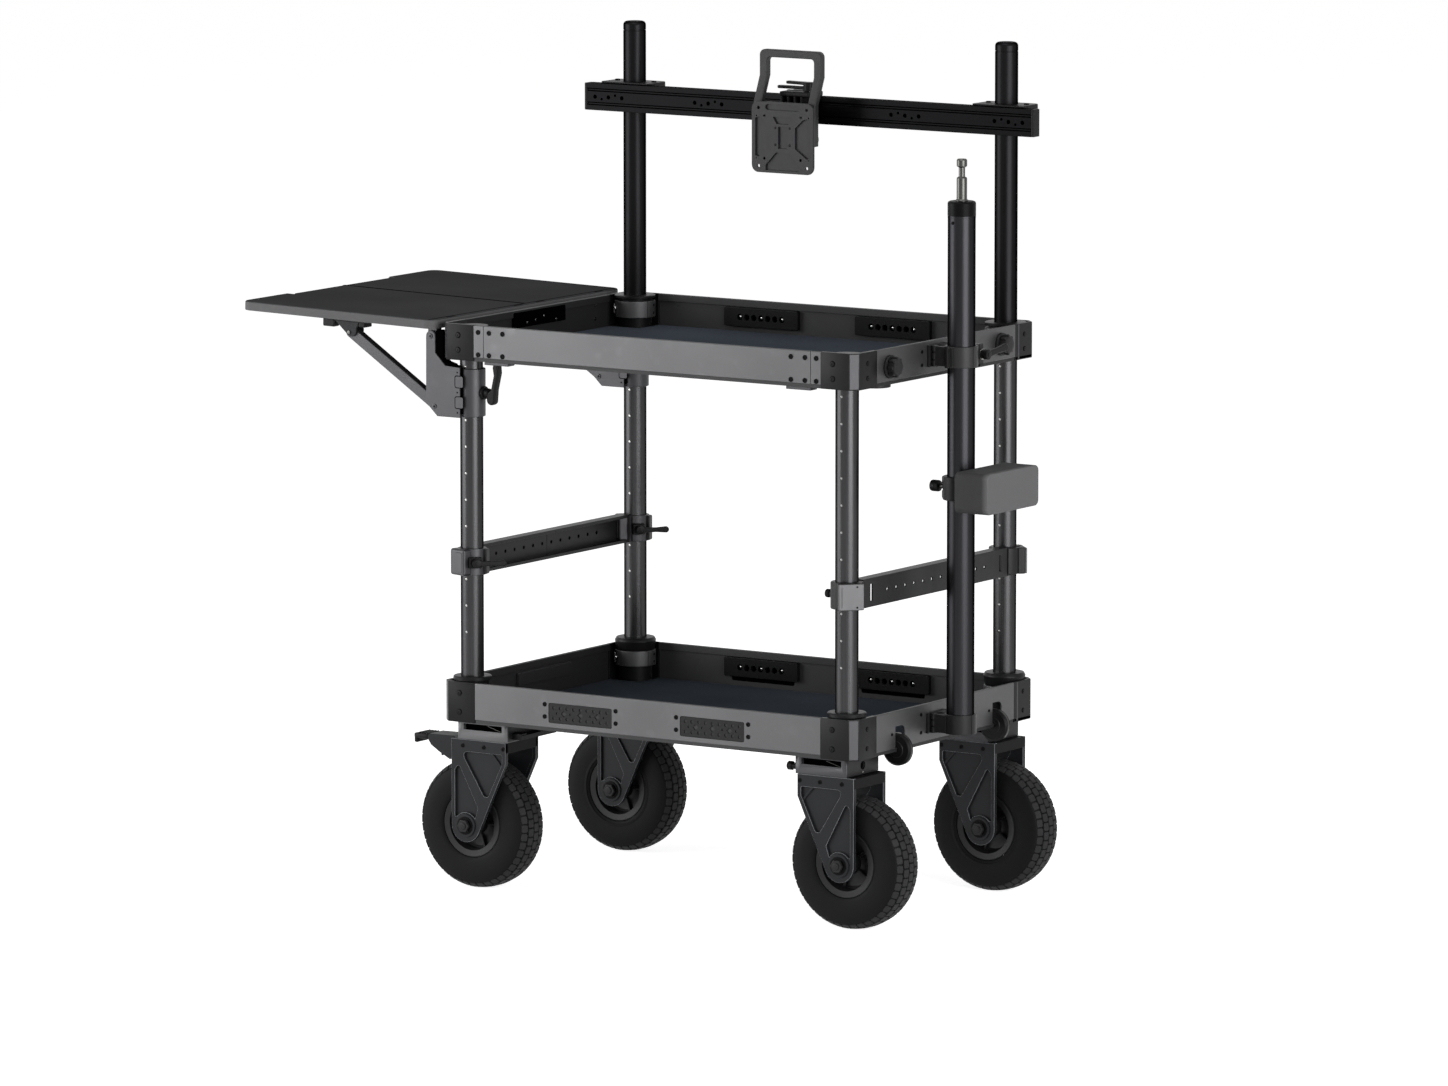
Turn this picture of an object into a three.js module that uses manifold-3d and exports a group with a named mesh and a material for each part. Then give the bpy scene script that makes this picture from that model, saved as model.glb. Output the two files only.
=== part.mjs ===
// A two-deck camera cart: two folded trays on four posts, swivelling tyred casters, a monitor bar on two
// uprights, a stand mast with a clamped box, two side bars and a folding side shelf.
// Lengths are millimetres. X runs to the mast side, Y to the back and Z up; the floor is at zero.
import * as THREE from "three";
import { mergeVertices } from "three/addons/utils/BufferGeometryUtils.js";
import Module from "manifold-3d";

const wasm = await Module();
wasm.setup();

// Shared fits
const play = 0.3; // gap left between neighbouring pieces
const overrun = 1; // how far a cutter runs past the face it opens
const weldStep = 1e-3;
const roundSides = 24;
const smallSides = 12;
const wheelSides = 24;
const quarter = Math.PI / 2;

// Posts and trays
const post = { insetX: 35, insetY: 32.5, radius: 17.75, wall: 2.5 };
const tray = {
  length: 751,
  width: 519,
  sheet: 3,
  floor: 6,
  hemHeight: 11,
  hemDepth: 5,
  lowerBottom: 264,
  lowerHeight: 62.5,
  upperBottom: 824,
  upperHeight: 55.5,
};
const corner = {
  leg: 61,
  wall: 7,
  chamfer: 12,
  base: 5,
  clampRadius: 30.5,
  clampBelowTop: 4.5,
  ringHeight: 7,
  ringRadius: 28.5,
};
const facePlate = { length: 116, height: 26, middleX: 120, aboveBottom: 18, depth: 1 };
const powerBlock = {
  length: 137,
  height: 30,
  depth: 8,
  middleX: 120,
  belowTop: 12,
  holeRadius: 3.6,
  holePitch: 14,
  holes: 7,
};
const roller = {
  radius: 25,
  width: 12,
  fromFront: 126.5,
  fromBack: 112.5,
  inset: 3,
  aboveBottom: 3,
  slotHeight: 36,
  slotWidth: 25,
};
const bumper = {
  flangeRadius: 17.8,
  flangeDepth: 5,
  radius: 13.5,
  reach: 17,
  fromFront: 99.5,
  fromBack: 81.5,
  belowTop: 28,
};
const tab = { length: 41, depth: 30, height: 5.5, fromEnd: 103.5, setBack: 6 };

// Uprights and monitor bar
const upright = { radius: 17.75, top: 1309, splitBelowTop: 22, capRadius: 14 };
const bar = {
  pastPost: 70.5,
  depth: 18,
  height: 42.5,
  belowTop: 97.5,
  capLength: 4,
  grooveHeight: 4,
  grooveDepth: 2.5,
  grooveFromEdge: 10,
  clampLength: 89,
  clampHeight: 41,
  clampRise: 3,
  clampWall: 7,
};
const carriage = { length: 62, gripDepth: 7, rise: 11, drop: 5, reach: 28, armLength: 40, armHeight: 28 };
const tilt = {
  radius: 10,
  length: 92,
  belowBar: 62.5,
  fromBar: 41,
  earWidth: 9,
  earRadius: 11,
  pinRadius: 4,
};
const monitorPlate = {
  length: 113,
  height: 110,
  thickness: 4,
  cornerRadius: 10,
  pocket: 1.2,
  holeRadius: 2.4,
  holeSpacing: 100,
  innerHoleSpacing: 75,
};
const yoke = {
  legWidth: 14,
  legDepth: 11,
  aboveBar: 73.5,
  barHeight: 12,
  bendBelowBar: 4.5,
  bendHeight: 25,
  lean: 18,
  cornerRadius: 8,
};
const carriageLever = { x: 14, hubRadius: 8, hubLength: 12, arm: 44, armWidth: 9, armHeight: 6 };

// Mast
const mast = { fromTray: 44.5, y: -31, radius: 21.5, wall: 3, top: 1092, capHeight: 30 };
const pin = {
  radius: 7.95,
  neckRadius: 4.8,
  aboveMast: 63.5,
  headHeight: 12,
  neckHeight: 16,
  seatDepth: 20,
  chamfer: 1.5,
};
const mastRing = { wall: 3.6, aboveTray: 17, height: 32, bracketLength: 42, lugWidth: 26, lugReach: 20 };
const mastCup = { wall: 3, aboveTray: 18, height: 30, floor: 3 };
const mastLever = { hubRadius: 8, hubLength: 14, arm: 56, armWidth: 11, armHeight: 8, riseDegrees: 16 };
const sideBox = {
  length: 60,
  width: 149,
  height: 62,
  bottom: 626,
  backOfMast: 57,
  edgeRadius: 9,
  clampWall: 6,
  clampHeight: 36,
  noseReach: 2,
};
const boxKnob = { radius: 9, length: 15, stemRadius: 4, stemLength: 7 };

// Side bars
const sideBar = {
  bottom: 489,
  height: 44,
  web: 3,
  flange: 20,
  webOut: 17.5,
  clampRadius: 25,
  clampHeight: 41,
  padWidth: 39,
  padOut: 31,
  holeRadius: 2.6,
  holePitch: 24,
  holes: 12,
};
const barLever = { hubRadius: 7.5, hubLength: 11.5, arm: 46, armWidth: 10, armHeight: 6 };

// Folding side shelf
const shelf = {
  aboveTray: 4.5,
  thickness: 14,
  length: 369,
  overhang: 2.5,
  fromTray: 12.5,
  edgeRadius: 14,
  recess: 1.5,
  recessWidth: 150,
};
const shelfPivot = { fromTray: 22.5, belowShelf: 13, radius: 4, lugRadius: 8.5, lugWidth: 14 };
const bracket = {
  sheet: 4,
  cheekSpacing: 16,
  fromPost: 27,
  fromTray: 31.5,
  knuckleRadius: 5,
  tubeWall: 3.6,
  belowTray: 89,
  tubeHeight: 74,
};
const strut = {
  lowFromTray: 15.5,
  lowAboveTube: 14,
  highFromTray: 175.5,
  highBelowShelf: 17,
  depth: 15,
  height: 17,
  wall: 2.5,
  pinRadius: 4,
};
const strutEar = { sheet: 3, length: 72, drop: 25 };
const shelfLever = { hubRadius: 8, hubLength: 20, arm: 46, armWidth: 12, armHeight: 9 };

// Casters
const caster = { insetX: 67.5, insetY: 57, trail: 32 };
const wheel = {
  radius: 101.6,
  width: 64,
  rimRadius: 52,
  rimWidth: 54,
  rimOpening: 41,
  web: 10,
  hubRadius: 16,
  hubWidth: 62,
};
const axle = { radius: 6, washerRadius: 16, washerDepth: 2.5, headRadius: 10.5, headDepth: 7.5 };
const fork = {
  outerHalf: 45.5,
  plate: 7,
  back: 42,
  front: 58,
  top: 235.7,
  strip: 13,
  hubRadius: 25.8,
  shoulder: 202,
  ribWidth: 6,
  ribHighZ: 203,
  ribLowZ: 148,
  pocket: 3.5,
  kingpinRadius: 13,
  kingpinHeight: 16,
};
const mountBlock = {
  size: 91,
  bottom: 236,
  slotLength: 71,
  slotHeight: 12,
  slotDepth: 26,
  slotBelowTop: 3,
  sideHoleRadius: 8,
  sideHoleDepth: 9,
};
const brake = { hingeU: 68, hingeZ: 222, width: 40, reach: 92, pinRadius: 3, earRadius: 7, earWidth: 5 };
const plunger = { radius: 6, length: 20, pinRadius: 3.2, pinLength: 12, fromFront: 12, aboveBottom: 9 };
const swivelLever = { width: 17, length: 96, height: 6, aboveBottom: 5 };

// Colours and finishes
const looks = {
  greyPaint: { color: "#7d7d7d", roughness: 0.55, metalness: 0.1 },
  darkPaint: { color: "#3a3a3a", roughness: 0.5, metalness: 0.1 },
  blackPaint: { color: "#1e1e1f", roughness: 0.5, metalness: 0.1 },
  anodised: { color: "#6f6f70", roughness: 0.35, metalness: 0.7 },
  blackTube: { color: "#2a2a2b", roughness: 0.35, metalness: 0.5 },
  castGrey: { color: "#434446", roughness: 0.55, metalness: 0.2 },
  rubber: { color: "#262626", roughness: 0.8, metalness: 0 },
  plastic: { color: "#161616", roughness: 0.45, metalness: 0 },
  chrome: { color: "#d8d8d8", roughness: 0.12, metalness: 1 },
  shelfBlack: { color: "#2f2f30", roughness: 0.6, metalness: 0.05 },
  boxGrey: { color: "#5f5f60", roughness: 0.6, metalness: 0.05 },
  bracketGrey: { color: "#67686a", roughness: 0.45, metalness: 0.3 },
};

// Turns a closed geometry into a solid that can be joined and cut.
function solid(geometry) {
  const loose = geometry.index ? geometry.toNonIndexed() : geometry;
  const bare = new THREE.BufferGeometry();
  bare.setAttribute("position", loose.getAttribute("position"));
  const merged = mergeVertices(bare, weldStep);
  const mesh = new wasm.Mesh({
    numProp: 3,
    vertProperties: new Float32Array(merged.attributes.position.array),
    triVerts: new Uint32Array(merged.index.array),
  });
  return new wasm.Manifold(mesh);
}

function join(...solids) {
  return solids.reduce((all, next) => all.add(next));
}

function cut(body, ...tools) {
  return tools.reduce((rest, tool) => rest.subtract(tool), body);
}

// A box between two values on each axis.
function block([x0, x1], [y0, y1], [z0, z1]) {
  const shape = new THREE.BoxGeometry(x1 - x0, y1 - y0, z1 - z0);
  shape.translate((x0 + x1) / 2, (y0 + y1) / 2, (z0 + z1) / 2);
  return solid(shape);
}

// A round bar along one axis, between two values on it; at holds the other two places in axis order.
function rod(axis, radius, [from, to], at, sides = smallSides) {
  const shape = new THREE.CylinderGeometry(radius, radius, to - from, sides);
  const middle = (from + to) / 2;
  if (axis === "z") {
    shape.rotateX(quarter);
    shape.translate(at[0], at[1], middle);
  } else if (axis === "y") {
    shape.translate(at[0], middle, at[1]);
  } else {
    shape.rotateZ(-quarter);
    shape.translate(middle, at[0], at[1]);
  }
  return solid(shape);
}

// A flat outline pushed along one axis; its two coordinates are the other axes in order.
function slab(outline, axis, [from, to], curveSegments = 6) {
  const corners = ([u, v]) => new THREE.Vector2(u, v);
  const shape = Array.isArray(outline) ? new THREE.Shape(outline.map(corners)) : outline;
  const pushed = new THREE.ExtrudeGeometry(shape, { depth: to - from, bevelEnabled: false, curveSegments });
  if (axis === "z") {
    pushed.translate(0, 0, from);
  } else if (axis === "y") {
    pushed.rotateX(quarter);
    pushed.translate(0, to, 0);
  } else {
    pushed.applyMatrix4(new THREE.Matrix4().set(0, 0, 1, 0, 1, 0, 0, 0, 0, 1, 0, 0, 0, 0, 0, 1));
    pushed.translate(from, 0, 0);
  }
  return solid(pushed);
}

// A closed profile of [radius, height] points turned about an axis through a point.
function turned(profile, axis, at, sides = roundSides) {
  const loop = [...profile, profile[0]].map(([r, h]) => new THREE.Vector2(r, h));
  const shape = new THREE.LatheGeometry(loop, sides);
  if (axis === "z") shape.rotateX(quarter);
  if (axis === "x") shape.rotateZ(-quarter);
  shape.translate(...at);
  return solid(shape);
}

// A rectangle with round corners, as a shape about a middle.
function roundedRectangle(width, height, radius, middleU = 0, middleV = 0) {
  const left = middleU - width / 2;
  const low = middleV - height / 2;
  const shape = new THREE.Shape();
  shape.moveTo(left + radius, low);
  shape.lineTo(left + width - radius, low);
  shape.absarc(left + width - radius, low + radius, radius, -quarter, 0);
  shape.lineTo(left + width, low + height - radius);
  shape.absarc(left + width - radius, low + height - radius, radius, 0, quarter);
  shape.lineTo(left + radius, low + height);
  shape.absarc(left + radius, low + height - radius, radius, quarter, 2 * quarter);
  shape.lineTo(left, low + radius);
  shape.absarc(left + radius, low + radius, radius, 2 * quarter, 3 * quarter);
  return shape;
}

// Makes the named mesh of a solid and hangs it in a group.
function place(parent, name, body, look, { position = [0, 0, 0], mirror = [1, 1, 1] } = {}) {
  const data = body.getMesh();
  const shape = new THREE.BufferGeometry();
  shape.setAttribute("position", new THREE.BufferAttribute(data.vertProperties, 3));
  shape.setIndex(new THREE.BufferAttribute(data.triVerts, 1));
  shape.computeVertexNormals();
  const mesh = new THREE.Mesh(shape, new THREE.MeshStandardMaterial(look));
  mesh.name = name;
  mesh.position.set(...position);
  mesh.scale.set(...mirror);
  parent.add(mesh);
  return mesh;
}

const cart = new THREE.Group();
const trayX = tray.length / 2;
const trayY = tray.width / 2;
const halfX = trayX - post.insetX;
const halfY = trayY - post.insetY;
const lowerTop = tray.lowerBottom + tray.lowerHeight;
const upperTop = tray.upperBottom + tray.upperHeight;
const boreRadius = post.radius + play;
const mastX = trayX + mast.fromTray;
const cupBottom = tray.lowerBottom + mastCup.aboveTray;
const ringBottom = tray.upperBottom + mastRing.aboveTray;
const mastBottom = cupBottom + mastCup.floor + play;
const pinTop = mast.top + pin.aboveMast;
const sides = { left: -1, right: 1 };
const ends = { front: -1, back: 1 };

// Trays

// A folded tray: floor, four walls and a hem along their tops, open at the corners for the corner castings.
function trayBody(bottom, height) {
  const top = bottom + height;
  const hollow = block(
    [-trayX + tray.sheet, trayX - tray.sheet],
    [-trayY + tray.sheet, trayY - tray.sheet],
    [bottom + tray.floor, top - tray.hemHeight],
  );
  const mouth = block(
    [-trayX + tray.hemDepth, trayX - tray.hemDepth],
    [-trayY + tray.hemDepth, trayY - tray.hemDepth],
    [bottom + tray.floor + play, top + overrun],
  );
  let body = cut(block([-trayX, trayX], [-trayY, trayY], [bottom, top]), hollow, mouth);
  const notch = corner.leg + play;
  for (const sx of [-1, 1]) {
    for (const sy of [-1, 1]) {
      const xs = [sx * (trayX - notch), sx * (trayX + overrun)].sort((a, b) => a - b);
      const ys = [sy * (trayY - notch), sy * (trayY + overrun)].sort((a, b) => a - b);
      body = cut(body, block(xs, ys, [bottom - overrun, top + overrun]));
    }
  }
  return body;
}

// The two blocks with a row of holes that stand inside a tray's back wall.
function powerBlocks(body, top) {
  const back = trayY - tray.sheet;
  const zs = [top - powerBlock.belowTop - powerBlock.height, top - powerBlock.belowTop];
  for (const side of [-1, 1]) {
    const middle = side * powerBlock.middleX;
    const half = powerBlock.length / 2;
    body = join(body, block([middle - half, middle + half], [back - powerBlock.depth, back + play], zs));
    for (let i = 0; i < powerBlock.holes; i++) {
      const x = middle + (i - (powerBlock.holes - 1) / 2) * powerBlock.holePitch;
      const reach = [back - powerBlock.depth - overrun, trayY + overrun];
      if (i % 3 === 0) body = cut(
        body,
        rod("y", powerBlock.holeRadius, reach, [x, (zs[0] + zs[1]) / 2], 10),
      );
    }
  }
  return body;
}

// The small plates under the walls where a tray is bolted to its corner castings.
function bracketTabs(body, bottom) {
  for (const sx of [-1, 1]) {
    for (const sy of [-1, 1]) {
      const outer = sy * (trayY - tab.setBack);
      const ys = [outer, outer - sy * tab.depth].sort((a, b) => a - b);
      const middle = sx * (trayX - tab.fromEnd);
      body = join(
        body,
        block([middle - tab.length / 2, middle + tab.length / 2], ys, [bottom - tab.height, bottom + play]),
      );
    }
  }
  return body;
}

function lowerTray() {
  let body = powerBlocks(trayBody(tray.lowerBottom, tray.lowerHeight), lowerTop);
  const plateLow = tray.lowerBottom + facePlate.aboveBottom;
  for (const side of [-1, 1]) {
    const middle = side * facePlate.middleX;
    const xs = [middle - facePlate.length / 2, middle + facePlate.length / 2];
    body = cut(
      body,
      block(xs, [-trayY - overrun, -trayY + facePlate.depth], [plateLow, plateLow + facePlate.height]),
    );
  }
  for (const y of [-trayY + roller.fromFront, trayY - roller.fromBack]) {
    const slotLow = tray.lowerBottom + tray.floor;
    const slot = [slotLow, slotLow + roller.slotHeight];
    const ys = [y - roller.width / 2 - play, y - roller.width / 2 + roller.slotWidth];
    body = cut(body, block([trayX - tray.sheet - overrun, trayX + overrun], ys, slot));
    const centre = [trayX - roller.inset, tray.lowerBottom + roller.aboveBottom];
    body = join(
      body,
      rod("y", roller.radius, [y - roller.width / 2, y + roller.width / 2], centre, roundSides),
    );
  }
  const cupTop = cupBottom + mastCup.height;
  const cupRadius = mast.radius + play + mastCup.wall;
  const stand = block(
    [trayX - play, mastX],
    [mast.y - mastRing.bracketLength / 2, mast.y + mastRing.bracketLength / 2],
    [cupBottom, cupTop],
  );
  const cup = rod("z", cupRadius, [cupBottom, cupTop], [mastX, mast.y], roundSides);
  const bore = rod(
    "z",
    mast.radius + play,
    [cupBottom + mastCup.floor, cupTop + overrun],
    [mastX, mast.y],
    roundSides,
  );
  return cut(join(body, stand, cup), bore);
}

function upperTray() {
  let body = bracketTabs(
    powerBlocks(trayBody(tray.upperBottom, tray.upperHeight), upperTop),
    tray.upperBottom,
  );
  const z = upperTop - bumper.belowTop;
  for (const y of [-trayY + bumper.fromFront, trayY - bumper.fromBack]) {
    const flange = rod(
      "x",
      bumper.flangeRadius,
      [trayX - play, trayX + bumper.flangeDepth],
      [y, z],
      roundSides,
    );
    const nose = rod("x", bumper.radius, [trayX, trayX + bumper.reach], [y, z], roundSides);
    body = join(body, flange, nose);
  }
  return body;
}

place(cart, "lower_tray", lowerTray(), looks.greyPaint);
place(cart, "upper_tray", upperTray(), looks.greyPaint);

// Corner castings, drawn for the back right corner about the post's axis

// ringed: a collar stands above the wall tops; openTop and openBottom: the tube runs out of that end.
function cornerCasting(bottom, height, { ringed, openTop, openBottom }) {
  const outX = trayX - halfX;
  const outY = trayY - halfY;
  const inX = outX - corner.leg;
  const inY = outY - corner.leg;
  const top = bottom + height;
  const footprint = [
    [inX, inY],
    [outX, inY],
    [outX, outY - corner.chamfer],
    [outX - corner.chamfer, outY],
    [inX, outY],
  ];
  const base = slab(footprint, "z", [bottom, bottom + corner.base]);
  const walls = cut(
    slab(footprint, "z", [bottom, top]),
    block(
      [inX - overrun, outX - corner.wall],
      [inY - overrun, outY - corner.wall],
      [bottom + corner.base, top + overrun],
    ),
  );
  const pillarRadius = Math.min(corner.clampRadius, corner.leg - outX, corner.leg - outY);
  const pillarTop = ringed ? top + corner.ringHeight : top - corner.clampBelowTop;
  const pillar = rod("z", pillarRadius, [bottom, pillarTop], [0, 0], roundSides);
  let body = join(base, walls, pillar);
  if (ringed) {
    const ring = [top + play, top + corner.ringHeight];
    body = join(body, rod("z", corner.ringRadius, ring, [0, 0], roundSides));
  }
  const boreTop = openTop ? top + corner.ringHeight + overrun : top - upright.splitBelowTop;
  const boreBottom = openBottom ? bottom - overrun : bottom + corner.base;
  return cut(body, rod("z", boreRadius, [boreBottom, boreTop], [0, 0], roundSides));
}

for (const [end, sy] of Object.entries(ends)) {
  const back = sy > 0;
  const low = cornerCasting(
    tray.lowerBottom,
    tray.lowerHeight,
    { ringed: true, openTop: true, openBottom: false },
  );
  const high = cornerCasting(
    tray.upperBottom,
    tray.upperHeight,
    { ringed: back, openTop: back, openBottom: true },
  );
  for (const [side, sx] of Object.entries(sides)) {
    const at = { position: [sx * halfX, sy * halfY, 0], mirror: [sx, sy, 1] };
    place(cart, `lower_corner_${end}_${side}`, low, looks.darkPaint, at);
    place(cart, `upper_corner_${end}_${side}`, high, looks.darkPaint, at);
  }
}

// Posts and uprights

const postBottom = tray.lowerBottom + corner.base + play;
const postTop = upperTop - upright.splitBelowTop - play;
for (const [end, sy] of Object.entries(ends)) {
  for (const [side, sx] of Object.entries(sides)) {
    const outside = rod("z", post.radius, [postBottom, postTop], [0, 0], roundSides);
    const inside = rod(
      "z",
      post.radius - post.wall,
      [postBottom - overrun, postTop + overrun],
      [0, 0],
      roundSides,
    );
    place(
      cart,
      `post_${end}_${side}`,
      cut(outside, inside),
      looks.anodised,
      { position: [sx * halfX, sy * halfY, 0] },
    );
  }
}

const uprightBottom = postTop + play;
for (const [side, sx] of Object.entries(sides)) {
  const outside = rod("z", upright.radius, [uprightBottom, upright.top], [0, 0], roundSides);
  const inside = rod(
    "z",
    upright.capRadius,
    [uprightBottom - overrun, upright.top - upright.radius],
    [0, 0],
    roundSides,
  );
  place(
    cart,
    `upright_${side}`,
    cut(outside, inside),
    looks.blackTube,
    { position: [sx * halfX, halfY, 0] },
  );
}

// Monitor bar

const barFront = halfY - upright.radius - play - bar.depth;
const barBack = barFront + bar.depth;
const barTop = upright.top - bar.belowTop;
const barBottom = barTop - bar.height;

function monitorBar() {
  const half = halfX + bar.pastPost;
  let body = block([-half, half], [barFront, barBack], [barBottom, barTop]);
  for (const z of [barBottom + bar.grooveFromEdge, barTop - bar.grooveFromEdge]) {
    const groove = [z - bar.grooveHeight / 2, z + bar.grooveHeight / 2];
    const xs = [-half + bar.capLength, half - bar.capLength];
    body = cut(body, block(xs, [barFront - overrun, barFront + bar.grooveDepth], groove));
  }
  for (const sx of [-1, 1]) {
    const middle = sx * halfX;
    const zs = [barTop + bar.clampRise - bar.clampHeight, barTop + bar.clampRise];
    const xs = [middle - bar.clampLength / 2, middle + bar.clampLength / 2];
    const clamp = block(xs, [barBack - play, halfY + boreRadius + bar.clampWall], zs);
    body = join(body, clamp);
    const bore = rod(
      "z",
      upright.radius + play,
      [zs[0] - overrun, zs[1] + overrun],
      [middle, halfY],
      roundSides,
    );
    body = cut(body, bore);
  }
  return body;
}

place(cart, "monitor_bar", monitorBar(), looks.blackTube);

// Monitor carriage, tilting yoke and plate

const tiltY = barFront - tilt.fromBar;
const tiltZ = barTop - tilt.belowBar;
const yokeTop = barTop + yoke.aboveBar;
const bendLow = barTop - yoke.bendBelowBar;
const bendHigh = bendLow + yoke.bendHeight;
const plateBack = tiltY - tilt.earRadius - yoke.legDepth;

function monitorCarriage() {
  const half = carriage.length / 2;
  const front = barFront - play - carriage.gripDepth;
  const pad = block(
    [-half, half],
    [front, barFront - play],
    [barBottom - carriage.drop, barTop + carriage.rise],
  );
  const hook = block(
    [-half, half],
    [front, barBack - bar.grooveDepth],
    [barTop + play, barTop + carriage.rise],
  );
  const ledge = block(
    [-half, half],
    [barFront - carriage.reach, front + play],
    [barTop, barTop + carriage.rise],
  );
  const hookLow = block(
    [-half, half],
    [front, barFront + bar.grooveDepth],
    [barBottom - carriage.drop, barBottom - play],
  );
  const arm = block(
    [-carriage.armLength / 2, carriage.armLength / 2],
    [tiltY, front + play],
    [tiltZ - tilt.radius, tiltZ - tilt.radius + carriage.armHeight],
  );
  const barrel = rod("x", tilt.radius, [-tilt.length / 2, tilt.length / 2], [tiltY, tiltZ], roundSides);
  const pinHole = rod(
    "x",
    tilt.pinRadius + play,
    [-tilt.length / 2 - overrun, tilt.length / 2 + overrun],
    [tiltY, tiltZ],
  );
  return cut(join(pad, hook, ledge, hookLow, arm, barrel), pinHole);
}

function yokeFrame() {
  const outer = monitorPlate.length / 2;
  const lowFront = plateBack + play;
  const lowBack = lowFront + yoke.legDepth;
  const sideOutline = [
    [lowFront, tiltZ - tilt.earRadius],
    [lowBack, tiltZ - tilt.earRadius],
    [lowBack, bendLow],
    [lowBack + yoke.lean, bendHigh],
    [lowBack + yoke.lean, yokeTop],
    [lowFront + yoke.lean, yokeTop],
    [lowFront + yoke.lean, bendHigh],
    [lowFront, bendLow],
  ];
  const whole = slab(sideOutline, "x", [-outer, outer]);
  const middleZ = (yokeTop + tiltZ - tilt.earRadius) / 2;
  const tall = yokeTop - tiltZ + tilt.earRadius;
  const frontOutline = roundedRectangle(2 * outer, tall, yoke.cornerRadius, 0, middleZ);
  const across = [lowFront - overrun, lowBack + yoke.lean + overrun];
  const opening = block(
    [-outer + yoke.legWidth, outer - yoke.legWidth],
    across,
    [tiltZ - tilt.earRadius - overrun, yokeTop - yoke.barHeight],
  );
  let body = cut(whole.intersect(slab(frontOutline, "y", across)), opening);
  for (const sx of [-1, 1]) {
    const inner = tilt.length / 2 + play;
    const xs = [sx * inner, sx * (inner + tilt.earWidth)].sort((a, b) => a - b);
    const ear = block(xs, [lowFront, tiltY], [tiltZ - tilt.earRadius, tiltZ + tilt.earRadius]);
    body = join(body, ear, rod("x", tilt.earRadius, xs, [tiltY, tiltZ], roundSides));
    const pinEnds = [sx * (inner - tilt.earWidth), sx * (inner + play)].sort((a, b) => a - b);
    body = join(body, rod("x", tilt.pinRadius, pinEnds, [tiltY, tiltZ]));
  }
  return body;
}

function mountingPlate() {
  const middleZ = bendLow - monitorPlate.height / 2 - play;
  const ys = [plateBack - monitorPlate.thickness, plateBack];
  const outline = roundedRectangle(
    monitorPlate.length,
    monitorPlate.height,
    monitorPlate.cornerRadius,
    0,
    middleZ,
  );
  let body = slab(outline, "y", ys);
  const halfW = monitorPlate.length / 2;
  const pocketShares = [
    [[-0.87, -0.56], [-0.87, 0.42], [-0.72, 0.42], [-0.32, 0.1], [-0.32, -0.24], [-0.72, -0.56]],
    [[0.87, -0.56], [0.87, 0.42], [0.72, 0.42], [0.32, 0.1], [0.32, -0.24], [0.72, -0.56]],
    [[-0.56, -0.9], [0.56, -0.9], [0.56, -0.78], [0.22, -0.42], [-0.22, -0.42], [-0.56, -0.78]],
  ];
  for (const pocket of pocketShares) {
    const outlinePoints = pocket.map(([u, v]) => [u * halfW, middleZ + (v * monitorPlate.height) / 2]);
    body = cut(body, slab(outlinePoints, "y", [ys[0] - overrun, ys[0] + monitorPlate.pocket]));
  }
  for (const spacing of [monitorPlate.holeSpacing, monitorPlate.innerHoleSpacing]) {
    for (const sx of [-1, 1]) {
      for (const sz of [-1, 1]) {
        const at = [(sx * spacing) / 2, middleZ + (sz * spacing) / 2];
        body = cut(body, rod("y", monitorPlate.holeRadius, [ys[0] - overrun, ys[1] + overrun], at, 8));
      }
    }
  }
  return body;
}

// A clamping lever along the local +X arm with its screw along +Z: hub, cranked arm and rounded grip end.
function clampLever({ hubRadius, hubLength, arm, armWidth, armHeight }) {
  const hub = rod("z", hubRadius, [0, hubLength], [0, 0]);
  const armLow = hubLength - armHeight;
  const outline = new THREE.Shape();
  outline.absarc(0, 0, hubRadius, quarter, 3 * quarter);
  outline.lineTo(arm - armWidth / 2, -armWidth / 2);
  outline.absarc(arm - armWidth / 2, 0, armWidth / 2, -quarter, quarter);
  return join(hub, slab(outline, "z", [armLow, hubLength]));
}

// Hangs a clamp lever with its screw along one direction and its arm along another.
function placeLever(name, sizes, position, screw, arm, look = looks.plastic) {
  const mesh = place(cart, name, clampLever(sizes), look, { position });
  const z = new THREE.Vector3(...screw).normalize();
  const x = new THREE.Vector3(...arm).addScaledVector(z, -z.dot(new THREE.Vector3(...arm))).normalize();
  const y = new THREE.Vector3().crossVectors(z, x);
  mesh.quaternion.setFromRotationMatrix(new THREE.Matrix4().makeBasis(x, y, z));
  return mesh;
}

place(cart, "monitor_carriage", monitorCarriage(), looks.plastic);
place(cart, "monitor_yoke", yokeFrame(), looks.castGrey);
place(cart, "monitor_plate", mountingPlate(), looks.castGrey);
const carriageTop = barTop + carriage.rise + play;
placeLever(
  "monitor_carriage_lever",
  carriageLever,
  [carriageLever.x, barFront - carriage.reach / 2, carriageTop],
  [0, 0, 1],
  [-1, 0, 0],
);

// Mast with its pin, ring clamp and lever

function mastTube() {
  const outside = rod("z", mast.radius, [mastBottom, mast.top], [mastX, mast.y], roundSides);
  const reach = [mastBottom - overrun, mast.top - mast.capHeight];
  const inside = rod("z", mast.radius - mast.wall, reach, [mastX, mast.y], roundSides);
  const seat = rod("z", pin.radius + play, [mast.top - pin.seatDepth, mast.top + overrun], [mastX, mast.y]);
  return cut(outside, inside, seat);
}

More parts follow.
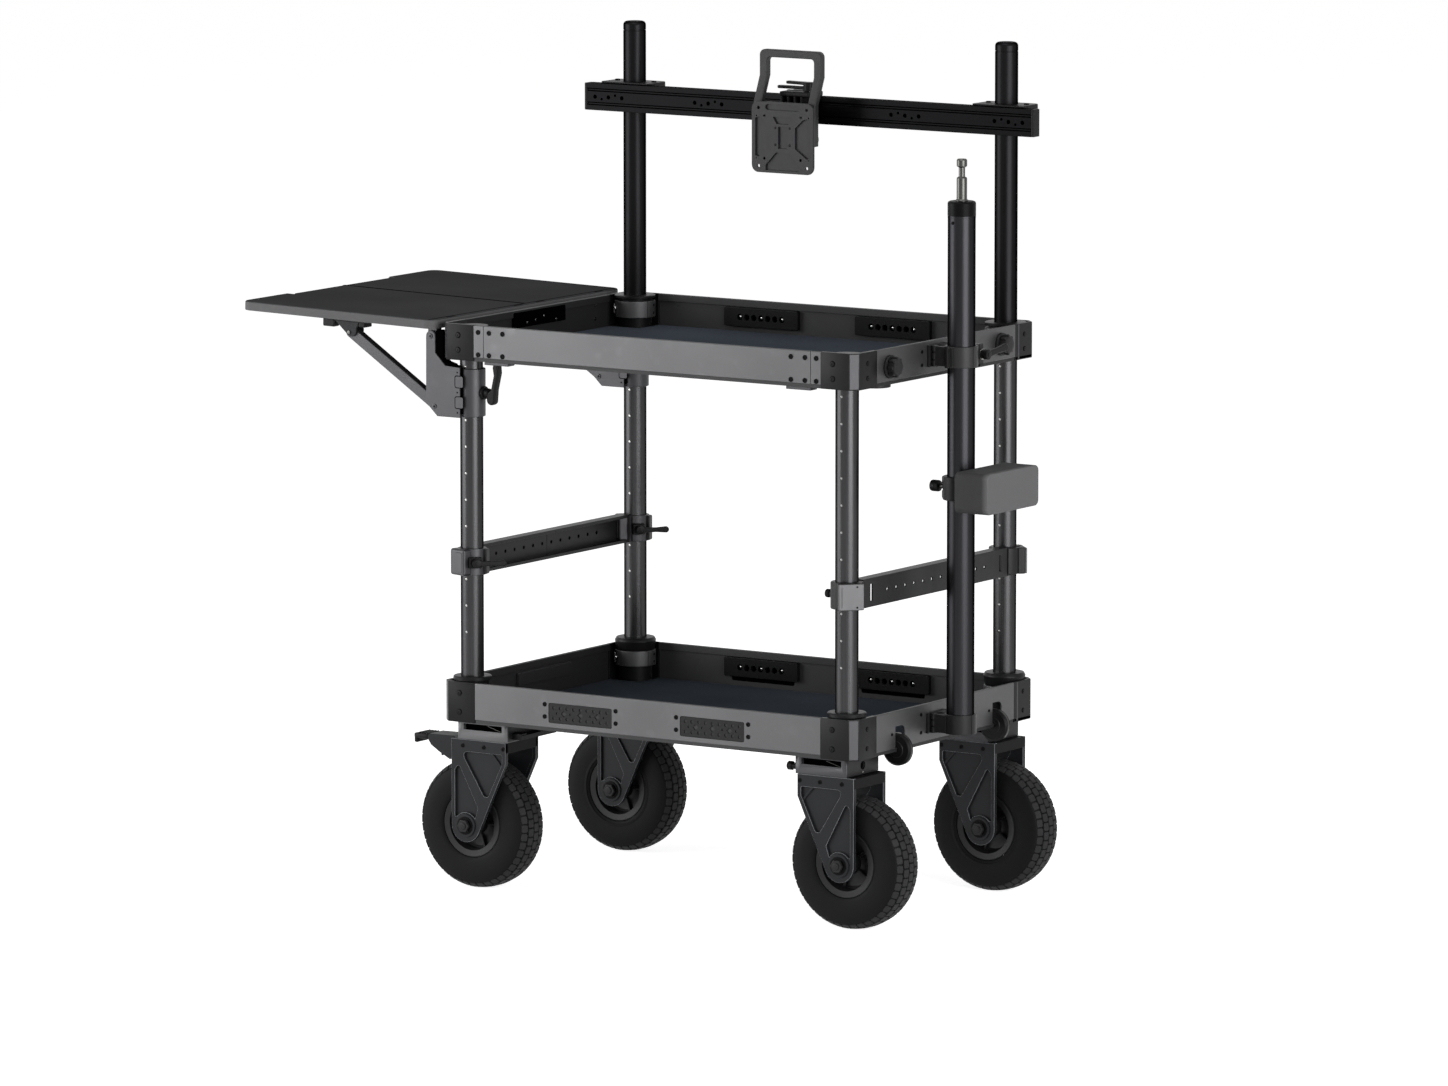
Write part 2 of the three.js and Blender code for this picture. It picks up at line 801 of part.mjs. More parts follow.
function babyPin() {
  const low = mast.top - pin.seatDepth + play;
  const neckTop = pinTop - pin.headHeight;
  const neckLow = neckTop - pin.neckHeight;
  const profile = [
    [0, low],
    [pin.radius, low],
    [pin.radius, neckLow - pin.chamfer],
    [pin.neckRadius, neckLow],
    [pin.neckRadius, neckTop],
    [pin.radius, neckTop + pin.chamfer],
    [pin.radius, pinTop - pin.chamfer],
    [pin.radius - pin.chamfer, pinTop],
    [0, pinTop],
  ].map(([r, z]) => new THREE.Vector2(r, z));
  const shape = new THREE.LatheGeometry(profile, smallSides);
  shape.rotateX(quarter);
  shape.translate(mastX, mast.y, 0);
  return solid(shape);
}

const ringOuter = mast.radius + play + mastRing.wall;
const ringTop = ringBottom + mastRing.height;
const lugY = mast.y + ringOuter + mastRing.lugReach;

function mastClamp() {
  const zs = [ringBottom, ringTop];
  const ys = [mast.y - mastRing.bracketLength / 2, mast.y + mastRing.bracketLength / 2];
  const stand = block([trayX + play, mastX], ys, zs);
  const ring = rod("z", ringOuter, zs, [mastX, mast.y], roundSides);
  const lug = block([mastX - mastRing.lugWidth / 2, mastX + mastRing.lugWidth / 2], [mast.y, lugY], zs);
  const bore = rod(
    "z",
    mast.radius + play,
    [zs[0] - overrun, zs[1] + overrun],
    [mastX, mast.y],
    roundSides,
  );
  return cut(join(stand, ring, lug), bore);
}

place(cart, "mast", mastTube(), looks.blackTube);
place(cart, "mast_pin", babyPin(), looks.chrome);
place(cart, "mast_clamp", mastClamp(), looks.blackPaint);
const mastLeverAt = [
  mastX + mastRing.lugWidth / 2 + play,
  lugY - mastLever.hubRadius,
  ringBottom + mastRing.height / 2,
];
const rise = THREE.MathUtils.degToRad(mastLever.riseDegrees);
placeLever("mast_clamp_lever", mastLever, mastLeverAt, [1, 0, 0], [0, Math.cos(rise), Math.sin(rise)]);

// Box clamped to the mast

const boxClampRadius = mast.radius + play + sideBox.clampWall;
const boxMiddleZ = sideBox.bottom + sideBox.height / 2;

function clampedBox() {
  const x0 = mastX + mast.radius + play;
  const y0 = mast.y - sideBox.backOfMast;
  const outline = roundedRectangle(
    sideBox.width,
    sideBox.height,
    sideBox.edgeRadius,
    y0 + sideBox.width / 2,
    boxMiddleZ,
  );
  const shell = slab(outline, "x", [x0, x0 + sideBox.length], 4);
  const zs = [boxMiddleZ - sideBox.clampHeight / 2, boxMiddleZ + sideBox.clampHeight / 2];
  const jaw = rod("z", boxClampRadius, zs, [mastX, mast.y], roundSides);
  const noseEnds = [mastX - boxClampRadius - sideBox.noseReach, mastX];
  const nose = block(noseEnds, [mast.y - boxKnob.radius, mast.y + boxKnob.radius], zs);
  const bore = rod(
    "z",
    mast.radius + play,
    [zs[0] - overrun, zs[1] + overrun],
    [mastX, mast.y],
    roundSides,
  );
  return cut(join(shell, jaw, nose), bore);
}

function tKnob() {
  const face = mastX - boxClampRadius - sideBox.noseReach - play;
  const at = [mast.y, boxMiddleZ];
  const stem = rod("x", boxKnob.stemRadius, [face - boxKnob.stemLength, face], at);
  const gripEnds = [face - boxKnob.stemLength - boxKnob.length, face - boxKnob.stemLength + play];
  return join(stem, rod("x", boxKnob.radius, gripEnds, at));
}

place(cart, "side_box", clampedBox(), looks.boxGrey);
place(cart, "side_box_knob", tKnob(), looks.plastic);

// Side bars: a channel with a clamp round the post at each end, drawn for the right side

// padTurns: which way the flat pad of the front and of the back clamp faces, in quarter turns from +X.
function sideChannel(padTurns) {
  const zs = [sideBar.bottom, sideBar.bottom + sideBar.height];
  const outer = sideBar.webOut;
  const reach = halfY - post.radius;
  const channel = cut(
    block([outer - sideBar.flange, outer], [-reach, reach], zs),
    block(
      [outer - sideBar.flange - overrun, outer - sideBar.web],
      [-reach + sideBar.web, reach - sideBar.web],
      [zs[0] + sideBar.web, zs[1] - sideBar.web],
    ),
  );
  let body = channel;
  for (let i = 0; i < sideBar.holes; i++) {
    const y = (i - (sideBar.holes - 1) / 2) * sideBar.holePitch;
    const z = sideBar.bottom + sideBar.height / 2;
    body = cut(
      body,
      rod("x", sideBar.holeRadius, [outer - sideBar.web - overrun, outer + overrun], [y, z], 6),
    );
  }
  const clampLow = sideBar.bottom + (sideBar.height - sideBar.clampHeight) / 2;
  const clampZs = [clampLow, clampLow + sideBar.clampHeight];
  for (const [sy, turns] of [
    [-1, padTurns.front],
    [1, padTurns.back],
  ]) {
    const jaw = rod("z", sideBar.clampRadius, clampZs, [0, sy * halfY], roundSides);
    const pad = new THREE.BoxGeometry(sideBar.padOut, sideBar.padWidth, sideBar.clampHeight);
    pad.translate(sideBar.padOut / 2, 0, clampLow + sideBar.clampHeight / 2);
    pad.rotateZ(turns * quarter);
    pad.translate(0, sy * halfY, 0);
    body = join(body, jaw, solid(pad));
  }
  for (const sy of [-1, 1]) {
    const through = [sideBar.bottom - overrun, sideBar.bottom + sideBar.height + overrun];
    body = cut(body, rod("z", boreRadius, through, [0, sy * halfY], roundSides));
  }
  return body;
}

const leverZ = sideBar.bottom + sideBar.height / 2;
const padTurns = { left: { front: -1.5, back: -1.5 }, right: { front: -0.5, back: 0.5 } };
for (const [side, sx] of Object.entries(sides)) {
  const channel = sideChannel(padTurns[side]);
  place(
    cart,
    `side_bar_${side}`,
    channel,
    looks.blackPaint,
    { position: [sx * halfX, 0, 0], mirror: [sx, 1, 1] },
  );
  for (const [end, sy] of Object.entries(ends)) {
    const name = `side_bar_lever_${end}_${side}`;
    const padReach = (sideBar.padOut + play) * Math.SQRT1_2;
    const padFace = [-halfX + padReach, sy * halfY - padReach, leverZ];
    if (sx < 0) placeLever(name, barLever, padFace, [1, -1, 0], [1, 1, 0]);
    else placeLever(
      name,
      barLever,
      [halfX - sideBar.clampRadius - play, sy * halfY, leverZ],
      [-1, 0, 0],
      [0, -sy, 0],
    );
  }
}

// Folding shelf with its brackets, struts and levers

const shelfTop = upperTop + shelf.aboveTray;
const shelfBottom = shelfTop - shelf.thickness;
const shelfWidth = 2 * (trayY + shelf.overhang);
const shelfInner = -trayX - shelf.fromTray;
const foldX = -trayX - shelfPivot.fromTray;
const foldZ = shelfBottom - shelfPivot.belowShelf;
const bracketFront = -halfY - bracket.fromPost;
const bracketLeft = -trayX - bracket.fromTray;
const tubeBottom = tray.upperBottom - bracket.belowTray;
const strutLowX = -trayX - strut.lowFromTray;
const strutLowZ = tubeBottom + strut.lowAboveTube;
const strutHighX = -trayX - strut.highFromTray;
const strutHighZ = shelfBottom - strut.highBelowShelf;
const shelfMiddleX = shelfInner - shelf.length / 2;
const tubeOuter = boreRadius + bracket.tubeWall;
const strutMiddle = bracketFront + bracket.sheet + bracket.cheekSpacing / 2;
const strutYs = { front: strutMiddle, back: halfY + (strutMiddle + halfY) };

function shelfPanel() {
  const outline = roundedRectangle(shelf.length, shelfWidth, shelf.edgeRadius, shelfMiddleX, 0);
  let body = slab(outline, "z", [shelfBottom, shelfTop], 4);
  const outerEdge = shelfInner - shelf.length;
  const recess = block(
    [outerEdge - overrun, outerEdge + shelf.recess],
    [-shelf.recessWidth / 2, shelf.recessWidth / 2],
    [shelfBottom - overrun, shelfTop + overrun],
  );
  body = cut(body, recess);
  for (const y of Object.values(strutYs)) {
    const ys = [y - shelfPivot.lugWidth / 2, y + shelfPivot.lugWidth / 2];
    const lug = rod("y", shelfPivot.lugRadius, ys, [foldX, foldZ], roundSides);
    const neck = block(
      [foldX - shelfPivot.lugRadius, foldX + shelfPivot.lugRadius],
      ys,
      [foldZ, shelfBottom + play],
    );
    const pinHole = rod("y", shelfPivot.radius + play, [ys[0] - overrun, ys[1] + overrun], [foldX, foldZ]);
    body = cut(join(body, lug, neck), pinHole);
    for (const sy of [-1, 1]) {
      const inner = y + sy * (strut.depth / 2 + play);
      const earYs = [inner, inner + sy * strutEar.sheet].sort((a, b) => a - b);
      const top = shelfBottom + play;
      const ear = [
        [strutHighX - strutEar.length / 2, top],
        [strutHighX + strutEar.length / 2, top],
        [strutHighX + strut.pinRadius * 2, top - strutEar.drop],
        [strutHighX - strut.pinRadius * 2, top - strutEar.drop],
      ];
      body = join(body, slab(ear, "y", earYs));
    }
  }
  return body;
}

// The bracket's cheek as [x, z] points, from the round top down to the tube clamp.
function cheekOutline() {
  const right = foldX + shelfPivot.lugRadius;
  const tubeTop = tubeBottom + bracket.tubeHeight;
  const pastPost = -halfX;
  const foot = strutLowX + tubeOuter / 3;
  const shape = new THREE.Shape();
  shape.moveTo(bracketLeft, strutLowZ + bracket.knuckleRadius);
  shape.lineTo(foot, tubeBottom);
  shape.lineTo(pastPost, tubeBottom);
  shape.lineTo(pastPost, tubeTop);
  shape.lineTo(-halfX - post.radius * 2 + bracket.knuckleRadius, tubeTop + bracket.sheet / 2);
  shape.lineTo(right, tubeTop + post.radius);
  shape.lineTo(right, foldZ);
  shape.absarc(foldX, foldZ, shelfPivot.lugRadius, 0, 2 * quarter);
  return shape;
}

// Two cheeks, the web along their tray side, pivot pins and the clamp round the post, drawn at the front post.
function shelfBracket() {
  const tubeTop = tubeBottom + bracket.tubeHeight;
  const inside = bracketFront + bracket.sheet;
  const rear = inside + bracket.cheekSpacing;
  const outline = cheekOutline();
  let body = join(
    slab(outline, "y", [bracketFront, inside]),
    slab(outline, "y", [rear, rear + bracket.sheet]),
  );
  const webRight = -halfX - post.radius * 2 + bracket.knuckleRadius;
  const right = foldX + shelfPivot.lugRadius;
  const web = [
    [right, tubeTop + post.radius],
    [webRight, tubeTop + bracket.sheet / 2],
    [-halfX, tubeTop],
    [-halfX, tubeTop - bracket.sheet],
    [webRight, tubeTop - bracket.sheet],
    [right, tubeTop + post.radius - bracket.sheet * 1.5],
  ];
  body = join(body, slab(web, "y", [inside - play, rear + play]));
  for (const [x, z, radius] of [
    [foldX, foldZ, shelfPivot.radius],
    [strutLowX, strutLowZ, strut.pinRadius],
  ]) {
    body = join(body, rod("y", radius, [inside - play, rear + play], [x, z]));
  }
  const zs = [tubeBottom, tubeTop];
  body = join(body, rod("z", tubeOuter, zs, [-halfX, -halfY], roundSides));
  return cut(
    body,
    rod("z", boreRadius, [zs[0] - overrun, zs[1] + post.radius], [-halfX, -halfY], roundSides),
  );
}

// A channel between two eyes, drawn along X from its low eye and then leaned up to its high eye.
function strutBody(y) {
  const run = strutLowX - strutHighX;
  const climb = strutHighZ - strutLowZ;
  const length = Math.hypot(run, climb);
  const half = strut.height / 2;
  const ys = [-strut.depth / 2 + play, strut.depth / 2 - play];
  const outline = new THREE.Shape();
  outline.moveTo(0, half);
  outline.lineTo(-length, half);
  outline.absarc(-length, 0, half, quarter, 3 * quarter);
  outline.lineTo(0, -half);
  outline.absarc(0, 0, half, -quarter, quarter);
  const trough = block(
    [-length + half, -half],
    [ys[0] + strut.wall, ys[1] - strut.wall],
    [-half + strut.wall, half + overrun],
  );
  const eye = rod("y", strut.pinRadius + play, [ys[0] - overrun, ys[1] + overrun], [0, 0]);
  const body = cut(slab(outline, "y", ys), trough, eye);
  return { body, lean: Math.atan2(climb, run), position: [strutLowX, y, strutLowZ] };
}

place(cart, "side_shelf", shelfPanel(), looks.shelfBlack);
for (const [end, sy] of Object.entries(ends)) {
  const shift = sy > 0 ? 2 * halfY : 0;
  place(cart, `shelf_bracket_${end}`, shelfBracket(), looks.bracketGrey, { position: [0, shift, 0] });
  const { body, lean, position } = strutBody(strutYs[end]);
  place(cart, `shelf_strut_${end}`, body, looks.bracketGrey, { position }).rotation.y = lean;
  const leverAt = [-halfX + tubeOuter + play, sy * halfY, tubeBottom + bracket.tubeHeight / 2];
  placeLever(`shelf_lever_${end}`, shelfLever, leverAt, [1, 0, 0], [0, 0, 1]);
}

// Casters, drawn about the swivel axis at the front right with the trail along +X, and mirrored for the others

const casterX = trayX - caster.insetX;
const casterY = trayY - caster.insetY;
const hubU = caster.trail;
const plateInner = fork.outerHalf - fork.plate;

function casterMount({ lever }) {
  const half = mountBlock.size / 2;
  const top = tray.lowerBottom - play;
  let body = block([-half, half], [-half, half], [mountBlock.bottom, top]);
  const slotTop = top - mountBlock.slotBelowTop;
  for (const sy of [-1, 1]) {
    const ys = [sy * (half - mountBlock.slotDepth), sy * (half + overrun)].sort((a, b) => a - b);
    const xs = [-mountBlock.slotLength / 2, mountBlock.slotLength / 2];
    body = cut(body, block(xs, ys, [slotTop - mountBlock.slotHeight, slotTop]));
  }
  const kingpinHole = [mountBlock.bottom - overrun, mountBlock.bottom + fork.kingpinHeight + play];
  body = cut(body, rod("z", fork.kingpinRadius + play, kingpinHole, [0, 0], roundSides));
  const holeAt = [0, (mountBlock.bottom + top) / 2];
  body = cut(
    body,
    rod("x", mountBlock.sideHoleRadius, [half - mountBlock.sideHoleDepth, half + overrun], holeAt),
  );
  if (lever) {
    const low = mountBlock.bottom + swivelLever.aboveBottom;
    const xs = [-half - swivelLever.width, -half + overrun];
    body = join(
      body,
      block(xs, [-swivelLever.length / 3, (2 * swivelLever.length) / 3], [low, low + swivelLever.height]),
    );
  } else {
    const y = -half + plunger.fromFront;
    const z = mountBlock.bottom + plunger.aboveBottom;
    const reach = [-half - overrun, -half + plunger.pinLength + play];
    body = cut(body, rod("x", plunger.pinRadius + play, reach, [y, z], 12));
  }
  return body;
}

// The fork's side plate as [u, z] points about the swivel axis.
function forkOutline() {
  const shape = new THREE.Shape();
  const hubZ = wheel.radius;
  const dx = hubU + fork.back;
  const dz = fork.shoulder - hubZ;
  const reach = Math.hypot(dx, dz);
  const tangent = Math.atan2(dz, -dx) + Math.acos(fork.hubRadius / reach);
  shape.moveTo(-fork.back, fork.top);
  shape.lineTo(-fork.back, fork.shoulder);
  shape.absarc(hubU, hubZ, fork.hubRadius, tangent, 4 * quarter, false);
  shape.lineTo(fork.front, fork.top);
  return shape;
}

// The two sunken fields beside the fork plate's slanting rib, cut from both outer faces.
function forkPockets() {
  const rib = fork.ribWidth;
  const high = fork.top - fork.strip;
  const right = fork.front - rib;
  const left = -fork.back + rib;
  const slope = (hubU - fork.hubRadius + fork.back) / (fork.shoulder - wheel.radius);
  const leftAt = (z) => left + Math.max(fork.shoulder - z, 0) * slope;
  const upper = [
    [left, high],
    [left, fork.shoulder],
    [leftAt(fork.ribLowZ + rib * 2), fork.ribLowZ + rib * 2],
    [right, fork.ribHighZ + rib],
    [right, high],
  ];
  const lowZ = wheel.radius + axle.washerRadius;
  const lower = [
    [leftAt(fork.ribLowZ - rib / 2), fork.ribLowZ - rib / 2],
    [leftAt(lowZ), lowZ],
    [right, lowZ],
    [right, fork.ribHighZ - rib],
  ];
  return [upper, lower];
}

function casterFork({ braked }) {
  const zs = [fork.top - fork.strip, fork.top];
  let body = block([-fork.back, fork.front], [-fork.outerHalf + play, fork.outerHalf - play], zs);
  for (const sy of [-1, 1]) {
    const ys = [sy * plateInner, sy * fork.outerHalf].sort((a, b) => a - b);
    body = join(body, slab(forkOutline(), "y", ys, 8));
    const face = sy * fork.outerHalf;
    const depth = [face + sy * overrun, face - sy * fork.pocket].sort((a, b) => a - b);
    for (const pocket of forkPockets()) body = cut(body, slab(pocket, "y", depth));
    const washer = [face - sy * fork.pocket, face + sy * axle.washerDepth].sort((a, b) => a - b);
    body = join(body, rod("y", axle.washerRadius, washer, [hubU, wheel.radius], roundSides));
    const head = [face, face + sy * (axle.washerDepth + axle.headDepth)].sort((a, b) => a - b);
    body = join(body, rod("y", axle.headRadius, head, [hubU, wheel.radius]));
    const spacer = [sy * (wheel.hubWidth / 2 + play), sy * (plateInner + play)].sort((a, b) => a - b);
    body = join(body, rod("y", axle.radius * 2, spacer, [hubU, wheel.radius]));
  }
  body = join(body, rod("y", axle.radius, [-plateInner, plateInner], [hubU, wheel.radius]));
  const kingpin = rod(
    "z",
    fork.kingpinRadius,
    [fork.top - play, mountBlock.bottom + fork.kingpinHeight],
    [0, 0],
    roundSides,
  );
  return braked ? join(body, kingpin, pedalHinge()) : join(body, kingpin);
}

// Hub, web and bead seat of the rim, turned about the axle.
function wheelRim() {
  const bore = axle.radius + play;
  const halfHub = wheel.hubWidth / 2;
  const halfRim = wheel.rimWidth / 2;
  const halfWeb = wheel.web / 2;
  const right = [
    [wheel.hubRadius, halfWeb],
    [wheel.hubRadius, halfHub],
    [bore, halfHub],
  ];
  const profile = [
    [bore, -halfHub],
    [wheel.hubRadius, -halfHub],
    [wheel.hubRadius, -halfWeb],
    [wheel.rimOpening, -halfWeb],
    [wheel.rimOpening, -halfRim],
    [wheel.rimRadius, -halfRim],
    [wheel.rimRadius, halfRim],
    [wheel.rimOpening, halfRim],
    [wheel.rimOpening, halfWeb],
    ...right,
  ];
  return turned(profile, "y", [hubU, 0, wheel.radius], wheelSides);
}

// The tyre's section as shares of its height over the rim and of half its width, turned about the axle.
function tyreBody() {
  const seat = wheel.rimRadius + play;
  const tall = wheel.radius - seat;
  const half = wheel.width / 2;
  const beadShare = (wheel.rimWidth / 2 - play) / half;
  const sectionShares = [
    [0, beadShare],
    [0.18, 0.95],
    [0.45, 1],
    [0.72, 0.96],
    [0.9, 0.82],
    [0.98, 0.58],
    [1, 0.3],
  ];
  const rightSide = sectionShares.map(([up, out]) => [seat + up * tall, out * half]);
  const leftSide = sectionShares.map(([up, out]) => [seat + up * tall, -out * half]).reverse();
  const profile = [...rightSide, ...leftSide].reverse();
  return turned(profile, "y", [hubU, 0, wheel.radius], wheelSides);
}

// A foot pedal hinged on the fork: cranked arm, raised pad and a small catch below.
function brakePedal() {
  const armShares = [
    [-0.07, -0.07],
    [0.16, -0.2],
    [0.45, -0.13],
    [0.75, -0.02],
    [0.96, -0.04],
    [1, 0.05],
    [0.96, 0.11],
    [0.7, 0.14],
    [0.3, 0.12],
    [-0.07, 0.09],
  ];
  const hookShares = [
    [0.26, -0.1],
    [0.3, -0.32],
    [0.42, -0.3],
    [0.4, -0.1],
  ];
  const point = ([u, z]) => [brake.hingeU + u * brake.reach, brake.hingeZ + z * brake.reach];
  const outline = (shares) => shares.map(point);
  const half = brake.width / 2;
  const arm = slab(outline(armShares), "y", [-half, half]);
  const hook = slab(outline(hookShares), "y", [-half / 2, half / 2]);
  const pinHole = rod(
    "y",
    brake.pinRadius + play,
    [-half - overrun, half + overrun],
    [brake.hingeU, brake.hingeZ],
  );
  return cut(join(arm, hook), pinHole);
}

// The two ears and the pin on the fork's top that carry the pedal.
function pedalHinge() {
  const inner = brake.width / 2 + play;
  const at = [brake.hingeU, brake.hingeZ];
  const zs = [brake.hingeZ - brake.earRadius, brake.hingeZ + brake.earRadius];
  let body = rod("y", brake.pinRadius, [-inner - play, inner + play], at);
  for (const sy of [-1, 1]) {
    const ys = [sy * inner, sy * (inner + brake.earWidth)].sort((a, b) => a - b);
    body = join(body, block([fork.front - play, brake.hingeU], ys, zs), rod("y", brake.earRadius, ys, at));
  }
  return body;
}

function lockPlunger() {
  const half = mountBlock.size / 2;
  const at = [-half + plunger.fromFront, mountBlock.bottom + plunger.aboveBottom];
  const knob = rod("x", plunger.radius, [-half - play - plunger.length, -half - play], at);
  const stem = rod("x", plunger.pinRadius, [-half - overrun, -half + plunger.pinLength - play], at, 12);
  return join(knob, stem);
}

for (const [end, sy] of Object.entries(ends)) {
  for (const [side, sx] of Object.entries(sides)) {
    const at = { position: [sx * casterX, sy * casterY, 0], mirror: [sx, -sy, 1] };
    const braked = sx < 0;
    place(cart, `caster_mount_${end}_${side}`, casterMount({ lever: braked }), looks.bracketGrey, at);
    place(cart, `caster_fork_${end}_${side}`, casterFork({ braked }), looks.castGrey, at);
    place(cart, `wheel_rim_${end}_${side}`, wheelRim(), looks.castGrey, at);
    place(cart, `tyre_${end}_${side}`, tyreBody(), looks.rubber, at);
    if (braked) place(cart, `brake_pedal_${end}`, brakePedal(), looks.plastic, at);
    else place(cart, `swivel_lock_${end}`, lockPlunger(), looks.plastic, at);
  }
}

// The part's origin is the middle of its footprint, on the floor
cart.updateMatrixWorld(true);
const reachBox = new THREE.Box3().setFromObject(cart, true);
const middle = reachBox.getCenter(new THREE.Vector3());
cart.position.set(-middle.x, -middle.y, -reachBox.min.z);
const group = new THREE.Group();
group.add(cart);

export default group;
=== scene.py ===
"""A two-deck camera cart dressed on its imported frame, laid out as a Blender add-on."""

import math

import bpy
from mathutils import Matrix, Vector


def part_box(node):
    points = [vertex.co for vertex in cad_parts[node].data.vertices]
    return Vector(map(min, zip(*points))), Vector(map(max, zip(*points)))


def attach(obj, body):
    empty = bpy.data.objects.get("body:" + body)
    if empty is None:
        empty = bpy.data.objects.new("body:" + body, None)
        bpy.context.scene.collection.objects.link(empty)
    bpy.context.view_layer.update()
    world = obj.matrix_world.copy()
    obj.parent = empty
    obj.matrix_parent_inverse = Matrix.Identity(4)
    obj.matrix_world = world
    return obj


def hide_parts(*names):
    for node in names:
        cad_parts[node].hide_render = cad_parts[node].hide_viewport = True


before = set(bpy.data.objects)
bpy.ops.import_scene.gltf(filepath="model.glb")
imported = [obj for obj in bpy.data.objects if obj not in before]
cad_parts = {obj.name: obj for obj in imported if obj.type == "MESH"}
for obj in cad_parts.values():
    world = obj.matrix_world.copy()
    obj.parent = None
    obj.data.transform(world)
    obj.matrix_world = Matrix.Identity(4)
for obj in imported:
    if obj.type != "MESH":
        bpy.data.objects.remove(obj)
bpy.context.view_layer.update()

bl_info = {
    "name": "Camera cart",
    "version": (1, 0, 0),
    "blender": (4, 5, 0),
    "location": "3D view > Sidebar > Cart",
    "description": "Dresses the frame of a two-deck camera cart",
    "category": "Object",
}

MM = 0.001
FULL_TURN = 2 * math.pi

# Which way an end or a side lies from the middle
ENDS = {"front": -1, "back": 1}
SIDES = {"left": -1, "right": 1}

# Angles in degrees past which an edge counts as sharp, for rounding and for shading
BEVEL_ANGLE = 32
SMOOTH_ANGLE = 34
NODE_BEVEL_ANGLE = 34
NODE_SMOOTH_ANGLE = 30


def middle_of(node):
    """The middle of a frame node's box, in metres."""
    low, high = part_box(node)
    return (low + high) / 2


def post_middle():
    """The point on the floor midway between the four posts, in metres. Every size here counts from it."""
    left, right = middle_of("post_front_left"), middle_of("post_front_right")
    return Vector(((left.x + right.x) / 2, 0, 0))


ORIGIN = post_middle()


def local_box(node):
    """A frame node's lowest and highest corner in millimetres about the posts' middle."""
    low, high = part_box(node)
    return (low - ORIGIN) / MM, (high - ORIGIN) / MM


# Driving sizes, read from the frame in millimetres
POST_X = (middle_of("post_front_right").x - ORIGIN.x) / MM
POST_Y = middle_of("post_back_left").y / MM
POST_R = (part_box("post_front_left")[1].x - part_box("post_front_left")[0].x) / MM / 2
TRAY_X = (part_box("lower_corner_front_right")[1].x - ORIGIN.x) / MM
TRAY_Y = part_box("lower_tray")[1].y / MM
LOWER = {"bottom": 264.0, "top": 326.5}
UPPER = {
    "bottom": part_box("upper_corner_front_left")[0].z / MM,
    "top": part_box("upper_corner_front_left")[1].z / MM,
}
CORNER_LEG = 61.0
MAST = {"x": (middle_of("mast").x - ORIGIN.x) / MM, "y": middle_of("mast").y / MM, "r": 21.5}
BAR_LOW, BAR_HIGH = local_box("monitor_bar")
WHEEL_LOW, WHEEL_HIGH = local_box("tyre_front_right")
AXLE = {
    "x": (WHEEL_LOW.x + WHEEL_HIGH.x) / 2,
    "y": (WHEEL_LOW.y + WHEEL_HIGH.y) / 2,
    "z": WHEEL_HIGH.z / 2,
}
SWIVEL_X = AXLE["x"] - 32


class CartSizes(bpy.types.PropertyGroup):
    index_holes: bpy.props.IntProperty(
        name="Index holes", description="Holes down each grey post", default=13, min=1)
    index_pitch: bpy.props.FloatProperty(
        name="Index pitch", description="Distance between index holes, in millimetres", default=41.0, min=5)
    tread_blocks: bpy.props.IntProperty(
        name="Tread blocks", description="Blocks in one ring of the tyre's tread", default=44, min=12)
    rail_screw: bpy.props.FloatProperty(
        name="Rail screw", description="Head radius of the rails' screws, in millimetres", default=4.0, min=1)


def colour_property(label, shade):
    """A colour that a user can change, with its default written as it shows on screen."""
    return bpy.props.FloatVectorProperty(
        name=label, description=f"Colour of the {label.lower()}", subtype="COLOR", size=3, min=0, max=1,
        default=screen_colour(shade))


def screen_colour(shade):
    """A colour written as it shows on screen, such as 7f7f7f, as linear light."""
    values = [int(shade[i:i + 2], 16) / 255 for i in (0, 2, 4)]
    return tuple(v / 12.92 if v <= 0.04045 else ((v + 0.055) / 1.055) ** 2.4 for v in values)


class CartColours(bpy.types.PropertyGroup):
    tray: colour_property("Tray paint", "525253")
    # A lighter copy of the tray inside colour for the end walls: painted light
    back_wall: colour_property("Tray back wall", "373738")
    liner: colour_property("Tray inside", "1f1f20")
    corner: colour_property("Corner castings", "0f0f10")
    post: colour_property("Post tubes", "39393a")
    black_tube: colour_property("Black tubes", "19191a")
    # The mast is given a lighter copy of the black tubes' colour: painted light
    mast: colour_property("Mast tube", "28282a")
    fitting: colour_property("Black fittings", "161617")
    bracket: colour_property("Grey fittings", "3e3e40")
    casting: colour_property("Monitor castings", "1f1f20")
    fork: colour_property("Caster forks", "18191b")
    # The forks' rounded edges are painted lighter than their faces: a painted highlight
    fork_edge: colour_property("Fork edges", "7c7e81")
    rim: colour_property("Wheel rims", "131314")
    rubber: colour_property("Tyre sides", "060607")
    tread: colour_property("Tyre tread", "262627")
    shelf: colour_property("Shelf board", "434344")
    # The side box is painted pale on its broad face and dark round the rest: painted light and shade
    side_box: colour_property("Side box", "5a5a5b")
    mat: colour_property("Floor mats", "464c54")
    plastic: colour_property("Black plastic", "0e0e0f")


# Modelling helpers. Places and sizes are millimetres about the posts' middle.

def spot(x, y, z):
    """A place in metres in the frame."""
    return Vector((x * MM, y * MM, z * MM)) + ORIGIN


def laid(axis, first, second, along):
    """Three coordinates from two across an axis and one along it."""
    if axis == "x":
        return (along, first, second)
    if axis == "y":
        return (first, along, second)
    return (first, second, along)


def span(sign, near, far):
    """Two values along an axis on the side that the sign says, the lower one first."""
    return sorted((sign * near, sign * far))


def deselect():
    """Leaves edit mode and picks nothing."""
    if bpy.context.object and bpy.context.object.mode != "OBJECT":
        bpy.ops.object.mode_set(mode="OBJECT")
    bpy.ops.object.select_all(action="DESELECT")


def pick(*pieces):
    """Picks only the given pieces; the first one is active."""
    deselect()
    for piece in pieces:
        piece.select_set(True)
    bpy.context.view_layer.objects.active = pieces[0]


def settle(piece):
    """Puts the piece's place, turn and scale into its mesh."""
    pick(piece)
    bpy.ops.object.transform_apply(location=True, rotation=True, scale=True)
    return piece


